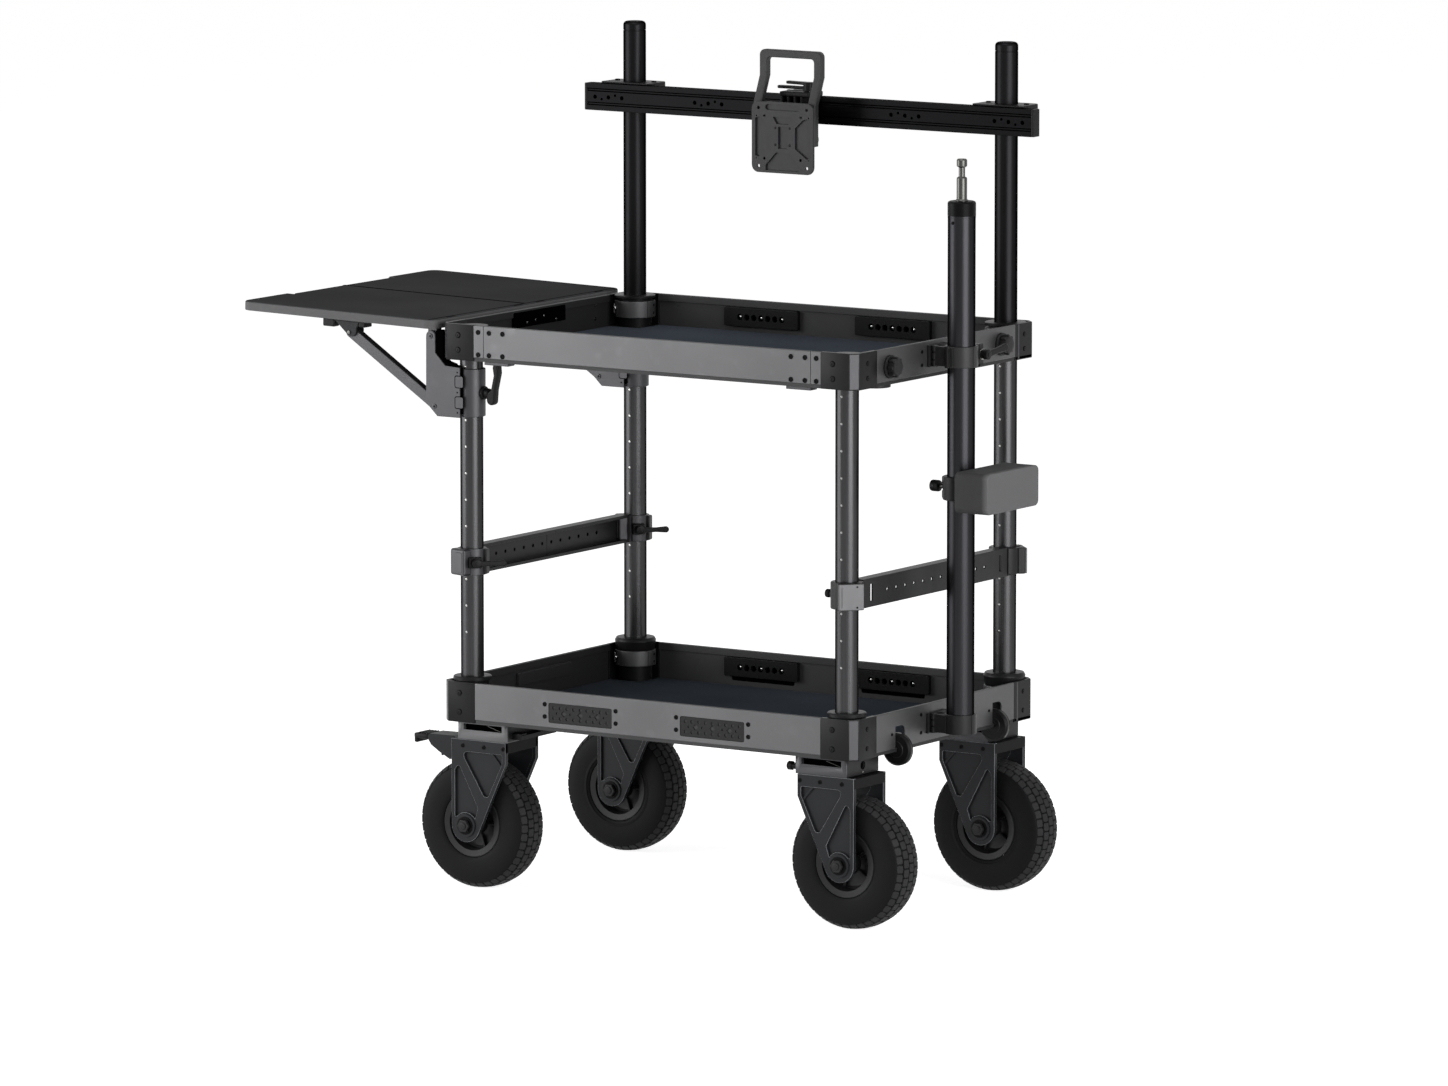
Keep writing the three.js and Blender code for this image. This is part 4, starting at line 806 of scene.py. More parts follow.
def face_plates(end, sy, skin):
    """The two perforated plates let into a lower front or back rail."""
    low, high, half = PLATE["low"], PLATE["high"], PLATE["length"] / 2
    z = (low + high) / 2
    through = span(sy, TRAY_Y - 6, TRAY_Y + 2)
    for side, sx in SIDES.items():
        name = f"lower_face_plate_{end}_{side}"
        middle = sx * PLATE["x"]
        outline = round_rectangle((middle - half, middle + half), (low, high), 3)
        carve(skin, prism("pocket", outline, "y", *span(sy, TRAY_Y - 5, TRAY_Y + 2)))
        # A dark sheet behind the plate: painted shade seen through its holes
        finished(prism(f"{name}_back", outline, "y", *span(sy, TRAY_Y - 3.2, TRAY_Y - 2.2)), "void", "frame")
        inner = round_rectangle((middle - half + 0.5, middle + half - 0.5), (low + 0.5, high - 0.5), 2.6)
        body = prism(name, inner, "y", *span(sy, TRAY_Y - 2.4, TRAY_Y - 0.6), 0.3)
        drills = [rod("drill", "y", (middle + (i - PLATE["columns"] // 2) * PLATE["pitch"], row),
                      PLATE["hole"], *through, 0, 14)
                  for i in range(PLATE["columns"])
                  for row in (low + PLATE["row_inset"], high - PLATE["row_inset"])]
        drills += [rod("drill", "y", (middle + x, z), 1.9, *through, 0, 12) for x in PLATE["small_holes"]]
        for x, r in PLATE["diamonds"]:
            diamond = [(middle + x + r, z), (middle + x, z + r), (middle + x - r, z), (middle + x, z - r)]
            drills.append(prism("diamond", diamond, "y", *through))
        carve(body, joined("drills", *drills))
        finished(body, "fitting", "frame")
        places = [(middle + k * (half + 7), sy * TRAY_Y, row) for k in (-1, 1) for row in (286, 305)]
        screws(f"{name}_screws", places, (0, sy, 0), "frame", 3.6, 1.2)


def left_wall_plate(deck_name, ys, zs, studs):
    """A plate inside a tray's left wall: black with bright studs and holes, or plain with a grey rim of
    painted highlight.
    """
    name = f"{deck_name}_left_wall_plate"
    face = -TRAY_X + RAIL["wall"]
    plate = prism(name, round_rectangle(ys, zs, 2), "x", face + 0.1, face + 4.5, 0.6)
    finished(plate, "void" if studs else "liner", "frame")
    if studs:
        heads = [rod("stud", "x", place, 2.0, face + 4, face + 5.4, 0.5, 16) for place in studs]
        eyes = [rod("eye", "x", (162, z), 2.7, face + 0.1, face + 1, 0.2, 20) for z in (844.7, 866.3)]
        finished(joined(f"{deck_name}_left_wall_studs", *heads, *eyes), "bright", "frame")
    else:
        # The grey rim shows only along the front and top edges: a painted highlight
        outline = round_rectangle((ys[0] - 1.2, ys[1]), (zs[0], zs[1] + 1.2), 2)
        finished(prism(f"{name}_rim", outline, "x", face + 0.1, face + 3.5, 0.4), "bracket", "frame")


def roller_slots(rail_pieces):
    """The slots and the upright rollers in the lower tray's right wall."""
    r, half, z, low, high = ROLLER["r"], ROLLER["width"] / 2, ROLLER["z"], ROLLER["low"], ROLLER["high"]
    profile = [(4, -half - 1), (12, -half - 1), (13, -half), (r - 3, -half), (r, -half + 2.5),
               (r, half - 2.5), (r - 3, half), (13, half), (12, half + 1), (4, half + 1)]
    band = [(r - 0.2, -1.6), (r + 0.1, -1.0), (r + 0.1, 1.0), (r - 0.2, 1.6)]
    for i, y in enumerate(ROLLER["y"]):
        outline = [(y - 12, low), (y + 15, low), (y + 15, high - 12)]
        outline += arc((y + 5, high - 10), 10, 0, 90, 6) + [(y - 12, high)]
        slot = prism("slot", outline, "x", TRAY_X - 30, TRAY_X + 5)
        for piece in rail_pieces:
            carve(piece, slot, keep=True)
        bpy.data.objects.remove(slot)
        centre = (TRAY_X - 3, y, z)
        finished(turned(f"roller_{i}", profile, "y", centre, 56, closed=True), "plastic", "frame")
        finished(turned(f"roller_band_{i}", band, "y", centre, 56, closed=True), "steel", "frame")
        screws(f"roller_screw_{i}", [(TRAY_X, y - 22, 292)], (1, 0, 0), "frame", 2.4, 1.2)


def bumpers():
    """The two round bumpers on the upper tray's right wall, and the tab under the wall."""
    for i, (y, drop) in enumerate(BUMPER["places"]):
        z = UPPER["top"] - drop
        flange = rod("flange", "x", (y, z), BUMPER["flange"], TRAY_X - 0.2, TRAY_X + 4.5, 1.5, 48)
        body = rod("body", "x", (y, z), BUMPER["body"], TRAY_X + 4, TRAY_X + 16.8, 2.6, 40)
        nut = prism("nut", regular((y, z), BUMPER["nut"], 6), "x", TRAY_X + 16, TRAY_X + 17, 0.3)
        lobes = [rod("lobe", "x", place, 2.6, TRAY_X + 6, TRAY_X + 15, 1, 12)
                 for place in regular((y, z), BUMPER["body"] + 0.2, 8)]
        finished(joined(f"bumper_{i}", flange, body, nut, *lobes), "fitting", "frame")
    bottom = UPPER["bottom"]
    tab = rod("upper_right_tab", "z", (TRAY_X - 24, -165), 23, bottom - 4.5, bottom + 0.5, 1, 40)
    finished(tab, "fitting", "frame")


def tray(deck_name, deck):
    """A tray's four rails, floor, mat and what is fixed to them."""
    rails = {side: rail(deck_name, deck, side) for side in (*ENDS, *SIDES)}
    hole_blocks(deck_name, deck)
    dress_face = upper_face if deck_name == "upper" else face_plates
    for end, sy in ENDS.items():
        dress_face(end, sy, rails[end][0])
    if deck_name == "upper":
        bumpers()
    else:
        roller_slots(rails["right"])
    left_wall_plate(deck_name, **WALL_PLATE[deck_name])
    for side, sx in SIDES.items():
        places = [(sx * TRAY_X, -72, z) for z in (deck["top"] - 15, deck["bottom"] + 20)]
        screws(f"{deck_name}_side_screws_{side}", places, (sx, 0, 0), "frame", 2.9, 1.2)
    skins = [skin for skin, _ in rails.values()]
    finished(joined(f"{deck_name}_rails", *skins), "tray", "frame", (f"{deck_name}_tray",))
    for side, (_, inside) in rails.items():
        # The end walls' inside is painted lighter than the side walls': painted light
        finished(inside, "back_wall" if side in ENDS else "liner", "frame")
    finished(tray_floor(f"{deck_name}_floor", deck, 1.0, 3.6, 2.6, 0.4), "liner", "frame")
    finished(tray_floor(f"{deck_name}_mat", deck, 3.6, 6.0, 6.0, 0.5), "mat", "frame")


# Corner castings and posts

COLLAR = {
    "upper": {"low": 844.7, "high": 870.4, "neck": 824.0},
    "lower": {"low": 293.0, "high": 317.0, "neck": 264.0},
}

# How far a tube's hole is wider than the tube, and the radii of the pillar and ring round it
TUBE_FIT = 0.25
PILLAR_R = 26.4
RING_R = 32

# A casting's wall and the length of its cut corner's legs
CASTING = {"wall": 4.5, "cut": 12.0}

CORNER_SCREW_X = {"left": -343, "right": 335}

INDEX_EYE = {"first": 402, "turn": -88, "hole": 2.3, "eye": 2.0, "clear": 12}


def corner_painted_highlights(name, deck, sx, sy):
    """Painted highlights: a pale strip on a casting's cut corner and, on the back ones, where the rail ends.
    """
    bottom, top = deck["bottom"], deck["top"]
    reach = CASTING["cut"] / math.sqrt(2)
    inset = CASTING["cut"] / 2
    strip = block("strip", (-0.1, 0.35), (-reach + 1.6, reach - 1.6), (bottom + 1.6, top - 1.6), 0.15)
    strip.data.transform(mirror_matrix(sx, sy) @ moved(TRAY_X - inset, TRAY_Y - inset, 0, 45))
    if sx * sy < 0:
        strip.data.flip_normals()
    parts = [strip]
    if sy > 0:
        parts.append(block("rail_end", span(sx, TRAY_X - 1, TRAY_X + 0.3), (205.5, 209.5),
                           (bottom + 2, top - 1), 0.2))
    # Both strips are painted highlights in the grey bracket paint
    finished(joined(f"{name}_edge", *parts), "bracket", "frame")


def back_corner(name, deck_name, deck, sx):
    """A back corner casting: two walls, a floor, a pillar and the grey clamp ring round its tube."""
    x, y = sx * POST_X, POST_Y
    out, back, near_x, near_y = TRAY_X, TRAY_Y, TRAY_X - CORNER_LEG, TRAY_Y - CORNER_LEG
    wall, cut = CASTING["wall"], CASTING["cut"]
    bottom, top = deck["bottom"], deck["top"]
    collar = COLLAR[deck_name]
    bore = POST_R + TUBE_FIT
    foot = [(near_x, near_y), (out, near_y), (out, back - cut), (out - cut, back), (near_x, back)]
    legs = [(out, near_y), (out, back - cut), (out - cut, back), (near_x, back), (near_x, back - wall),
            (out - cut - 2, back - wall), (out - wall, back - cut - 2), (out - wall, near_y)]
    base = prism("base", [(sx * a, b) for a, b in foot], "z", bottom, bottom + 6, 0.8)
    if deck_name == "upper":
        carve(base, rod("bore", "z", (x, y), bore, bottom - 5, bottom + 12, 0, 48))
    walls = prism("walls", [(sx * a, b) for a, b in legs], "z", bottom + 0.4, top, 1.0, 3)
    pillar = rod("pillar", "z", (x, y), PILLAR_R, collar["neck"] + 3, collar["high"] + 1.2, 0.5, 48, bore)
    if deck_name == "upper":
        flange = [(bore, 874.6), (31.2, 874.6), (32, 875.4), (32, 878.4), (30.5, 879.4), (bore, 879.4)]
        neck = rod("neck", "z", (x, y), PILLAR_R, collar["high"] + 1, 875, 0.3, 48, bore)
    else:
        flange = [(bore, 317.6), (30, 317.6), (32.4, 331), (32.4, 333), (30, 337), (22, 337.6), (bore, 337.6)]
        neck = None
    flange = turned("flange", flange, "z", (x, y, 0), 56, closed=True)
    finished(joined(f"{name}_casting", base, walls, pillar, flange, neck), "corner", "frame", (name,))
    clamp_ring(name, x, y, sx, collar["low"], collar["high"])


def clamp_ring(name, x, y, sx, low, high):
    """The split grey ring round a back tube, with its two screws and its bright bolt."""
    ring = rod(f"{name}_clamp_ring", "z", (x, y), RING_R, low, high, 1.0, 72, PILLAR_R + 0.1)
    split = block("split", (x + 24, x + 40), (y - 0.5, y + 0.5), (low - 5, high + 5))
    split.data.transform(turn_at(x, y, 0, -18, "Z"))
    carve(ring, split)
    if sx > 0:
        ring.data.transform(mirror_about(x))
        ring.data.flip_normals()
    middle = (low + high) / 2
    ear = math.radians(100)
    out_x, out_y = math.sin(ear), -math.cos(ear)
    spots = [(x - sx * 31.6 * out_x, y + 31.6 * out_y, middle + dz) for dz in (-6, 6)]
    screws(f"{name}_ring_screws", spots, (-sx * out_x, out_y, 0), "frame", 2.2, 1.2)
    finished(ring, "mount_block", "frame")
    bolt = math.radians(-38)
    out_x, out_y = -sx * math.sin(bolt), -math.cos(bolt)
    head = screw_head(4.2, 3.4, 0.5)
    head.data.transform(aim((x + out_x * 31.4, y + out_y * 31.4, middle + 1), (out_x, out_y, 0)))
    bar = rod("bar", "z", (x + out_x * 34, y + out_y * 34), 1.5, middle - 7, middle + 8, 0.6, 12)
    finished(joined(f"{name}_ring_bolt", head, bar), "bright", "frame")


def corner(deck_name, deck, end, side):
    """A corner casting with its screws and painted edge highlights and, at the lower front, a flange round
    its post.
    """
    sx, sy = SIDES[side], ENDS[end]
    name = f"{deck_name}_corner_{end}_{side}"
    heights = (deck["top"] - 17, deck["bottom"] + 16)
    faces = [(CORNER_SCREW_X[side], sy * TRAY_Y, z) for z in heights]
    ringed_screws(f"{name}_face_screws", faces, (0, sy, 0), "frame")
    faces = [(sx * TRAY_X, sy * 225, z) for z in heights]
    ringed_screws(f"{name}_side_screws", faces, (sx, 0, 0), "frame", 2.8)
    if end == "back":
        back_corner(name, deck_name, deck, sx)
    else:
        dress(name, "corner", 1.2, 3)
    corner_painted_highlights(name, deck, sx, sy)
    if end == "front" and deck_name == "lower":
        bore = POST_R + TUBE_FIT
        profile = [(bore, 0.4), (29.0, 0.4), (29.6, 1), (29.6, 5.8), (28.4, 6.9), (bore, 7)]
        place = (sx * POST_X, sy * POST_Y, deck["top"])
        finished(turned(f"{name}_flange", profile, "z", place, 56, closed=True), "corner", "frame")


def corners():
    """All eight corner castings."""
    for deck_name, deck in (("lower", LOWER), ("upper", UPPER)):
        for end in ENDS:
            for side in SIDES:
                corner(deck_name, deck, end, side)


def posts():
    """The four grey posts with their rows of index holes."""
    sizes = bpy.context.scene.cart_sizes
    low, high = local_box("post_front_left")
    heights = [INDEX_EYE["first"] + i * sizes.index_pitch for i in range(sizes.index_holes)]
    heights = [z for z in heights if z < UPPER["bottom"] - INDEX_EYE["clear"]]
    for end, sy in ENDS.items():
        for side, sx in SIDES.items():
            x, y = sx * POST_X, sy * POST_Y
            name = f"post_{end}_{side}"
            tube = rod(f"{name}_tube", "z", (x, y), POST_R, low.z, high.z, 0.4, 56, POST_R - 2.5)
            drills, eyes = [], []
            for z in heights:
                drills.append(rod("drill", "x", (0, 0), INDEX_EYE["hole"], 6, 30, 0, 14))
                eyes.append(rod("eye", "x", (0, 0), INDEX_EYE["eye"], POST_R - 3.4, POST_R - 0.6, 0.3, 14))
                for piece in (drills[-1], eyes[-1]):
                    piece.data.transform(moved(x, y, z, INDEX_EYE["turn"]))
            carve(tube, joined("drills", *drills))
            finished(tube, "post", "frame", (name,))
            finished(joined(f"{name}_index_eyes", *eyes), "bright", "frame")


def uprights():
    """The black tubes above the back corners, with their round caps."""
    low, high = local_box("upright_left")
    r, top, groove, crown = POST_R, high.z, 0.5, 6
    profile = [(0, low.z), (r, low.z), (r, top - 15), (r - groove, top - 14.6), (r - groove, top - 13.4),
               (r, top - 13)]
    profile += arc((r - crown, top - crown), crown, 0, 90, 6) + [(0, top)]
    for side, sx in SIDES.items():
        tube = turned(f"upright_{side}_tube", profile, "z", (sx * POST_X, POST_Y, 0), 56)
        finished(tube, "black_tube", "frame", (f"upright_{side}",))


# Monitor bar and its fittings

BAR = {"top": 1211.5, "bottom": 1169.0, "depth": 18, "cap": 5, "clusters": (150, 336), "hole_pitch": 12.5}

JAW = {"half": 44.5, "height": 41, "rise": 3}

HEAD = {
    "half": 56.5, "front": 123.95, "thick": 4.0, "bottom": 1096.7, "top": 1206.7,
    "tilt_y": 149.95, "tilt_z": 1149.0,
}

YOKE = {
    "low": 1140, "bend": 1203, "knee": 1245, "top": 1285,
    "thick": 11.0, "lean": 18.0, "bar": 14, "corner": 9,
}

CARRIAGE_LEVER = {"x": 14, "set_back": 14}


def monitor_bar():
    """The grooved bar, its hole clusters, end caps and clamps."""
    front, back = BAR_LOW.y, BAR_LOW.y + BAR["depth"]
    top, bottom = BAR["top"], BAR["bottom"]
    half = -BAR_LOW.x
    section = [(front, bottom), (front, bottom + 8), (front + 2.4, bottom + 9.2),
               (front + 2.4, bottom + 11.6), (front, bottom + 12.8), (front, top - 12.8),
               (front + 2.4, top - 11.6), (front + 2.4, top - 9.2), (front, top - 8), (front, top),
               (front + 6, top), (front + 7, top - 2.2), (back - 7, top - 2.2), (back - 6, top),
               (back, top), (back, bottom), (back - 6, bottom), (back - 7, bottom + 2.2),
               (front + 7, bottom + 2.2), (front + 6, bottom)]
    bar = prism("monitor_bar_extrusion", section, "x", -half + 4.5, half - 4.5, 0.5)
    z = (top + bottom) / 2
    drills = []
    for sx in (-1, 1):
        for start in BAR["clusters"]:
            for i, dz in enumerate((0, 3.4, 0, -3.4, 0)):
                x = sx * (start + 5 + i * BAR["hole_pitch"])
                radius = 3.4 if i % 2 == 0 else 2.2
                drills.append(rod("drill", "y", (x, z + dz), radius, front - 5, front + 9, 0, 18))
    carve(bar, joined("drills", *drills))
    # The bar's anodising is painted shade, darker than the black tubes'
    finished(bar, "black_bar", "monitor_bar", ("monitor_bar",))
    for side, sx in SIDES.items():
        cap = block(f"monitor_bar_cap_{side}", span(sx, half - BAR["cap"], half), (front, back),
                    (bottom, top), 1.4, 3)
        finished(cap, "plastic", "monitor_bar")
        bar_jaw(side, sx * POST_X, front, back)


def bar_jaw(side, x, front, back):
    """The clamp that holds the bar on one upright, with its cover plate, screws and bolt."""
    top, half = BAR["top"], JAW["half"]
    name = f"monitor_bar_jaw_{side}"
    high = top + JAW["rise"]
    outline = round_rectangle((x - half, x + half), (back - 0.2, BAR_HIGH.y), 8)
    jaw = prism("jaw", outline, "z", high - JAW["height"], high, 1.2)
    carve(jaw, rod("bore", "z", (x, POST_Y), POST_R + 0.3, top - 60, top + 20, 0, 56))
    cover = round_rectangle((x - half, x + half), (front + 8, back + 6), 2)
    plate = prism("jaw_plate", cover, "z", top + 0.2, high, 0.6)
    finished(joined(name, jaw, plate), "plastic", "monitor_bar")
    places = [(x + dx, POST_Y + 3, high) for dx in (-34, 34)]
    screws(f"monitor_bar_jaw_screws_{side}", places, (0, 0, 1), "monitor_bar", 4.2, 2)
    bolt = rod(f"monitor_bar_jaw_bolt_{side}", "y", (x + 34, top - 18), 5,
               BAR_HIGH.y - 1, BAR_HIGH.y - 0.1, 0.3, 20)
    finished(bolt, "screw", "monitor_bar")


def monitor_plate():
    """The pressed mounting plate with its pockets, slot and screw holes."""
    half, front, back = HEAD["half"], HEAD["front"], HEAD["front"] + HEAD["thick"]
    zs = (HEAD["bottom"], HEAD["top"])
    middle = sum(zs) / 2
    plate = prism("monitor_plate_pressing", round_rectangle((-half, half), zs, 12, 8), "y", front, back, 0.8)
    right_pocket = [(22.6, -16), (44, -31), (50, -29), (50, 29), (44, 31), (37, 29), (22.6, 16)]
    pockets = [right_pocket,
               [(-31, -51), (31, -51), (31, -43), (12, -23), (-12, -23), (-31, -43)],
               [(-11, 21), (11, 21), (18, 32), (-18, 32)],
               [(-8, -17), (9, -17), (9, 17), (-8, 17)],
               [(-x, z) for x, z in right_pocket],
               arc((27, 46.5), 4.6, -90, 90, 6) + arc((-27, 46.5), 4.6, 90, 270, 6)]
    for pocket in pockets:
        outline = [(x, middle + z) for x, z in pocket]
        carve(plate, prism("pocket", outline, "y", front - 2, front + 3.1))
    drills = [rod("drill", "y", (sx * x, middle + sz * z), r, front - 4, back + 4, 0, 18)
              for x, z, r in ((44, 45, 2.7), (33, 33, 2.4), (47.5, 32.5, 1.3))
              for sx in (-1, 1) for sz in (-1, 1)]
    carve(plate, joined("drills", *drills))
    # Dark plugs in two of the holes: painted shade in place of the view through them
    plugs = [rod("plug", "y", (sx * 33, middle - 33), 2.3, front + 2.4, front + 3.4, 0, 18) for sx in (-1, 1)]
    finished(joined("monitor_plate_plugs", *plugs), "void", "monitor_head")
    finished(plate, "casting", "monitor_head", ("monitor_plate",))
    places = [(x, front + 0.3, middle + z) for x in (-13, 13) for z in (-11, 15)]
    screws("monitor_plate_screws", places, (0, -1, 0), "monitor_head", 1.9, 1.0)


def monitor_yoke():
    """The U-shaped handle that leans over the bar."""
    half, tilt_y, tilt_z = HEAD["half"], HEAD["tilt_y"], HEAD["tilt_z"]
    low, bend, knee, top = YOKE["low"], YOKE["bend"], YOKE["knee"], YOKE["top"]
    lean, corner_r = YOKE["lean"], YOKE["corner"]
    front = HEAD["front"] + HEAD["thick"] + 0.3
    back = front + YOKE["thick"]
    side = [(front, low), (back, low), (back, bend), (back + lean, knee), (back + lean, top),
            (front + lean, top), (front + lean, knee), (front, bend)]
    handle = prism("yoke", side, "x", -half, half)
    inside = round_rectangle((-half + YOKE["bar"], half - YOKE["bar"]), (1100, 1273), 6, 6)
    carve(handle, prism("window", inside, "y", 100, 200))
    cx, cz = half - corner_r, top - corner_r
    quarter = [(half + 2, cz), (half + 2, top + 2), (cx, top + 2)] + arc((cx, cz), corner_r, 90, 0)
    for sx in (-1, 1):
        carve(handle, prism("corner_cut", [(sx * x, z) for x, z in quarter], "y", 100, 200))
    soften(handle, 1.6, 3)
    ears = [block("ear", span(sx, 38.5, 44.5), (front + 1, tilt_y), (tilt_z - 9, tilt_z + 9), 1)
            for sx in (-1, 1)]
    knuckles = [rod("knuckle", "x", (tilt_y, tilt_z), 9, *span(sx, 38.5, 44.5), 1, 40) for sx in (-1, 1)]
    finished(joined("monitor_handle", handle, *ears, *knuckles), "casting", "monitor_head", ("monitor_yoke",))


def monitor_carriage():
    """The block that grips the bar, its tilt barrel and the two stacked levers."""
    front, top, bottom = BAR_LOW.y, BAR["top"], BAR["bottom"]
    tilt = (HEAD["tilt_y"], HEAD["tilt_z"])
    body = [block("pad", (-31, 12), (front - 7.3, front - 0.3), (bottom - 5, top + 9), 1.5, 3),
            block("hook", (-31, 22), (front - 28, front + 15.5), (top + 0.3, top + 8), 2.0, 3),
            block("lower_hook", (-31, 12), (front - 7.3, front + 2.5), (bottom - 5, bottom - 0.3), 1),
            block("arm", (-20, 20), (HEAD["tilt_y"], front - 7), (1139, 1167), 2.5, 3),
            rod("barrel", "x", tilt, 10, -38, 38, 1, 44)]
    body += [block("rib", (x - 2, x + 2), (front - 26, front - 6), (1168, top + 4), 0.8)
             for x in (-28, -16, -4, 8)]
    body += [rod("collar", "x", tilt, 10.9, *span(sx, 20, 34), 1, 44) for sx in (-1, 1)]
    finished(joined("carriage_body", *body), "plastic", "monitor_carriage", ("monitor_carriage",))
    pivot = (CARRIAGE_LEVER["x"], front - CARRIAGE_LEVER["set_back"])
    seat = rod("carriage_lever_seat", "z", pivot, 6.2, top + 7.5, top + 13, 0.8, 32)
    finished(seat, "steel", "monitor_carriage")
    parts = [rod("hub", "z", pivot, 8.4, top + 8.6, top + 22.5, 1.6, 32)]
    for low, turn, reach, half in ((11.5, 180, 56, 6.2), (18.4, 172, 44, 5.4)):
        tip = arc((reach - half, 0), half, -80, 80, 10)
        outline = arc((0, 0), 8, 100, 260) + [(20, -half)] + tip + [(20, half)]
        blade = prism("blade", outline, "z", top + low, top + low + 4.6, 1.6, 3)
        blade.data.transform(moved(*pivot, 0, turn))
        parts.append(blade)
    lever = "monitor_carriage_lever"
    finished(joined("carriage_levers", *parts), "plastic", lever, (lever,))


# Mast

CAP = {"top": 1092.0, "height": 22, "screw_drop": 32, "screw_turn": -8}

# The lamp pin above the cap as (radius, height)
PIN = [(7.95, 1126), (7.2, 1127.5), (4.85, 1129), (4.85, 1142.5), (7.2, 1144), (7.95, 1145.2), (7.95, 1153.6),
       (6.6, 1155.5), (0, 1155.5)]

MAST_RING = {"low": 841, "high": 873, "wall": 3.6}

MAST_CUP = {"low": 282, "high": 312, "wall": 3.0}

MAST_FIT = 0.3

MAST_LEVER = {"x": 433.3, "y": 6.4, "z": 857, "lean": 7}

BOX = {"back": 57, "length": 149, "zs": (626, 688), "jaw_half": 18}


def mast():
    """The mast tube, its cap collar and the lamp pin."""
    r, top = MAST["r"], CAP["top"]
    at = (MAST["x"], MAST["y"])
    seat = top - CAP["height"]
    tube = rod("mast_tube", "z", at, r - 0.4, local_box("mast")[0].z, top - 20, 0.5, 64)
    line = rod("line", "z", at, r, seat - 3, seat - 2, 0.2, 64)
    # The mast's lighter colour is painted light
    finished(joined("mast_column", tube, line), "mast_tube", "mast", ("mast",))
    cap = [(0, seat), (r, seat), (r, top - 3), (r - 1, top - 1.2), (r - 3, top), (9.5, top), (0, top)]
    finished(turned("mast_cap", cap, "z", (*at, 0), 64), "screw", "mast")
    turn = math.radians(CAP["screw_turn"])
    place = (at[0] + r * math.sin(turn), at[1] - r * math.cos(turn), top - CAP["screw_drop"])
    screws("mast_set_screw", [place], (math.sin(turn), -math.cos(turn), 0), "mast", 2.4, 1.2)
    pin = [(0, top - 8), (9.8, top - 0.5), (9.8, top + 1.2), (8.6, top + 2.4), (7.95, top + 3), *PIN]
    finished(turned("lamp_pin", pin, "z", (*at, 0), 48), "steel", "mast", ("mast_pin",))


def hinge_bracket(name, low, high, *more):
    """The bracket that carries a mast collar on the trays' right wall, with its knuckles, bars and screws."""
    x, y, r = MAST["x"], MAST["y"], MAST["r"]
    plate = block("plate", (TRAY_X + 0.3, TRAY_X + 4.3), (y - 27, y + 27), (low - 1, high), 0.8)
    web = block("web", (TRAY_X + 3, x - r - 1), (y - 11, y + 14), (low + 3, high - 3), 1.2)
    knuckles = [rod("knuckle", "z", (TRAY_X + 9, y - 18), 5.4, z0, z1, 0.6, 28)
                for z0, z1 in ((low, low + 9), (low + 11, high - 11), (high - 9, high))]
    leaf = block("leaf", (TRAY_X + 8, x - 12), (y - 22.5, y - 16), (low + 1, high - 1), 1)
    finished(joined(f"{name}_bracket", plate, web, leaf, *knuckles, *more), "fitting", "frame")
    bars = [block("bar", (TRAY_X + 13.6, TRAY_X + 15), (y - 21.8 + dy, y - 20.6 + dy),
                  (low + 1.5, high - 1.5), 0.3)
            for dy in (0, 3.2)]
    finished(joined(f"{name}_hinge_bars", *bars), "bracket", "frame")
    places = [(TRAY_X + 4.3, y - 3.3, z) for z in (low + 3.5, high - 10.5)]
    places += [(TRAY_X + 4.3, y + 22, z) for z in (low + 7, high - 7)]
    screws(f"{name}_screws", places, (1, 0, 0), "frame", 2.4, 1.4, "steel")


def mast_collar(name, low, high, wall):
    """A split collar round the mast."""
    x, y, r = MAST["x"], MAST["y"], MAST["r"]
    ring = rod(name, "z", (x, y), r + MAST_FIT + wall, low, high, 1.2, 64, r + MAST_FIT)
    return carve(ring, block("split", (x + 10, x + 40), (y - 6.5, y - 5.5), (low - 5, high + 5)))


def mast_supports():
    """The ring clamp on the upper tray and the cup on the lower tray, each on its hinge bracket."""
    x, y, r = MAST["x"], MAST["y"], MAST["r"]
    low, high = MAST_RING["low"], MAST_RING["high"]
    finished(mast_collar("mast_ring_collar", **MAST_RING), "casting", "frame", ("mast_clamp",))
    bars = [block("front_bar", (x + dx, x + dx + 1.2), (y - 26.6, y - 25.4), (low + 2, high - 2), 0.3)
            for dx in (-5.0, -0.2)]
    finished(joined("mast_ring_front_bars", *bars), "steel", "frame")
    barrel = rod("mast_ring_hinge_barrel", "z", (x - 10.5, y - 22.5), 4.6, low - 0.6, high + 0.6, 0.8, 28)
    finished(barrel, "plastic", "frame")
    lug = block("lug", (x - 13, x + 13), (y + r, y + r + 23), (low, high), 2.2, 3)
    carve(lug, block("lug_slit", (x - 20, x + 20), (y + r + 9, y + r + 10), (low - 2, high + 2)))
    carve(lug, rod("bore", "z", (x, y), r + 0.5, low - 5, high + 5, 0, 48))
    lip = block("lip", (x - 10, x + 14), (y + r + 10, y + r + 22), (low - 2.2, low + 1), 0.8)
    hinge_bracket("mast_ring", low, high, lug, lip)
    low, high = MAST_CUP["low"], MAST_CUP["high"]
    floor = rod("floor", "z", (x, y), r + 1, low, low + 3, 0.5, 56)
    finished(joined("mast_cup_collar", mast_collar("cup", **MAST_CUP), floor), "fitting", "frame")
    hinge_bracket("mast_cup", low, high)
    place = (MAST_LEVER["y"], MAST_LEVER["z"])
    finished(rod("mast_lever_seat", "x", place, 8.6, 432.6, 435.4, 0.6, 36, 5), "bright", "frame")
    lean = math.radians(MAST_LEVER["lean"])
    clamp_lever("mast_lever", (MAST_LEVER["x"], *place), (1, 0, 0), (0, math.cos(lean), math.sin(lean)),
                "mast_clamp_lever", "mast")


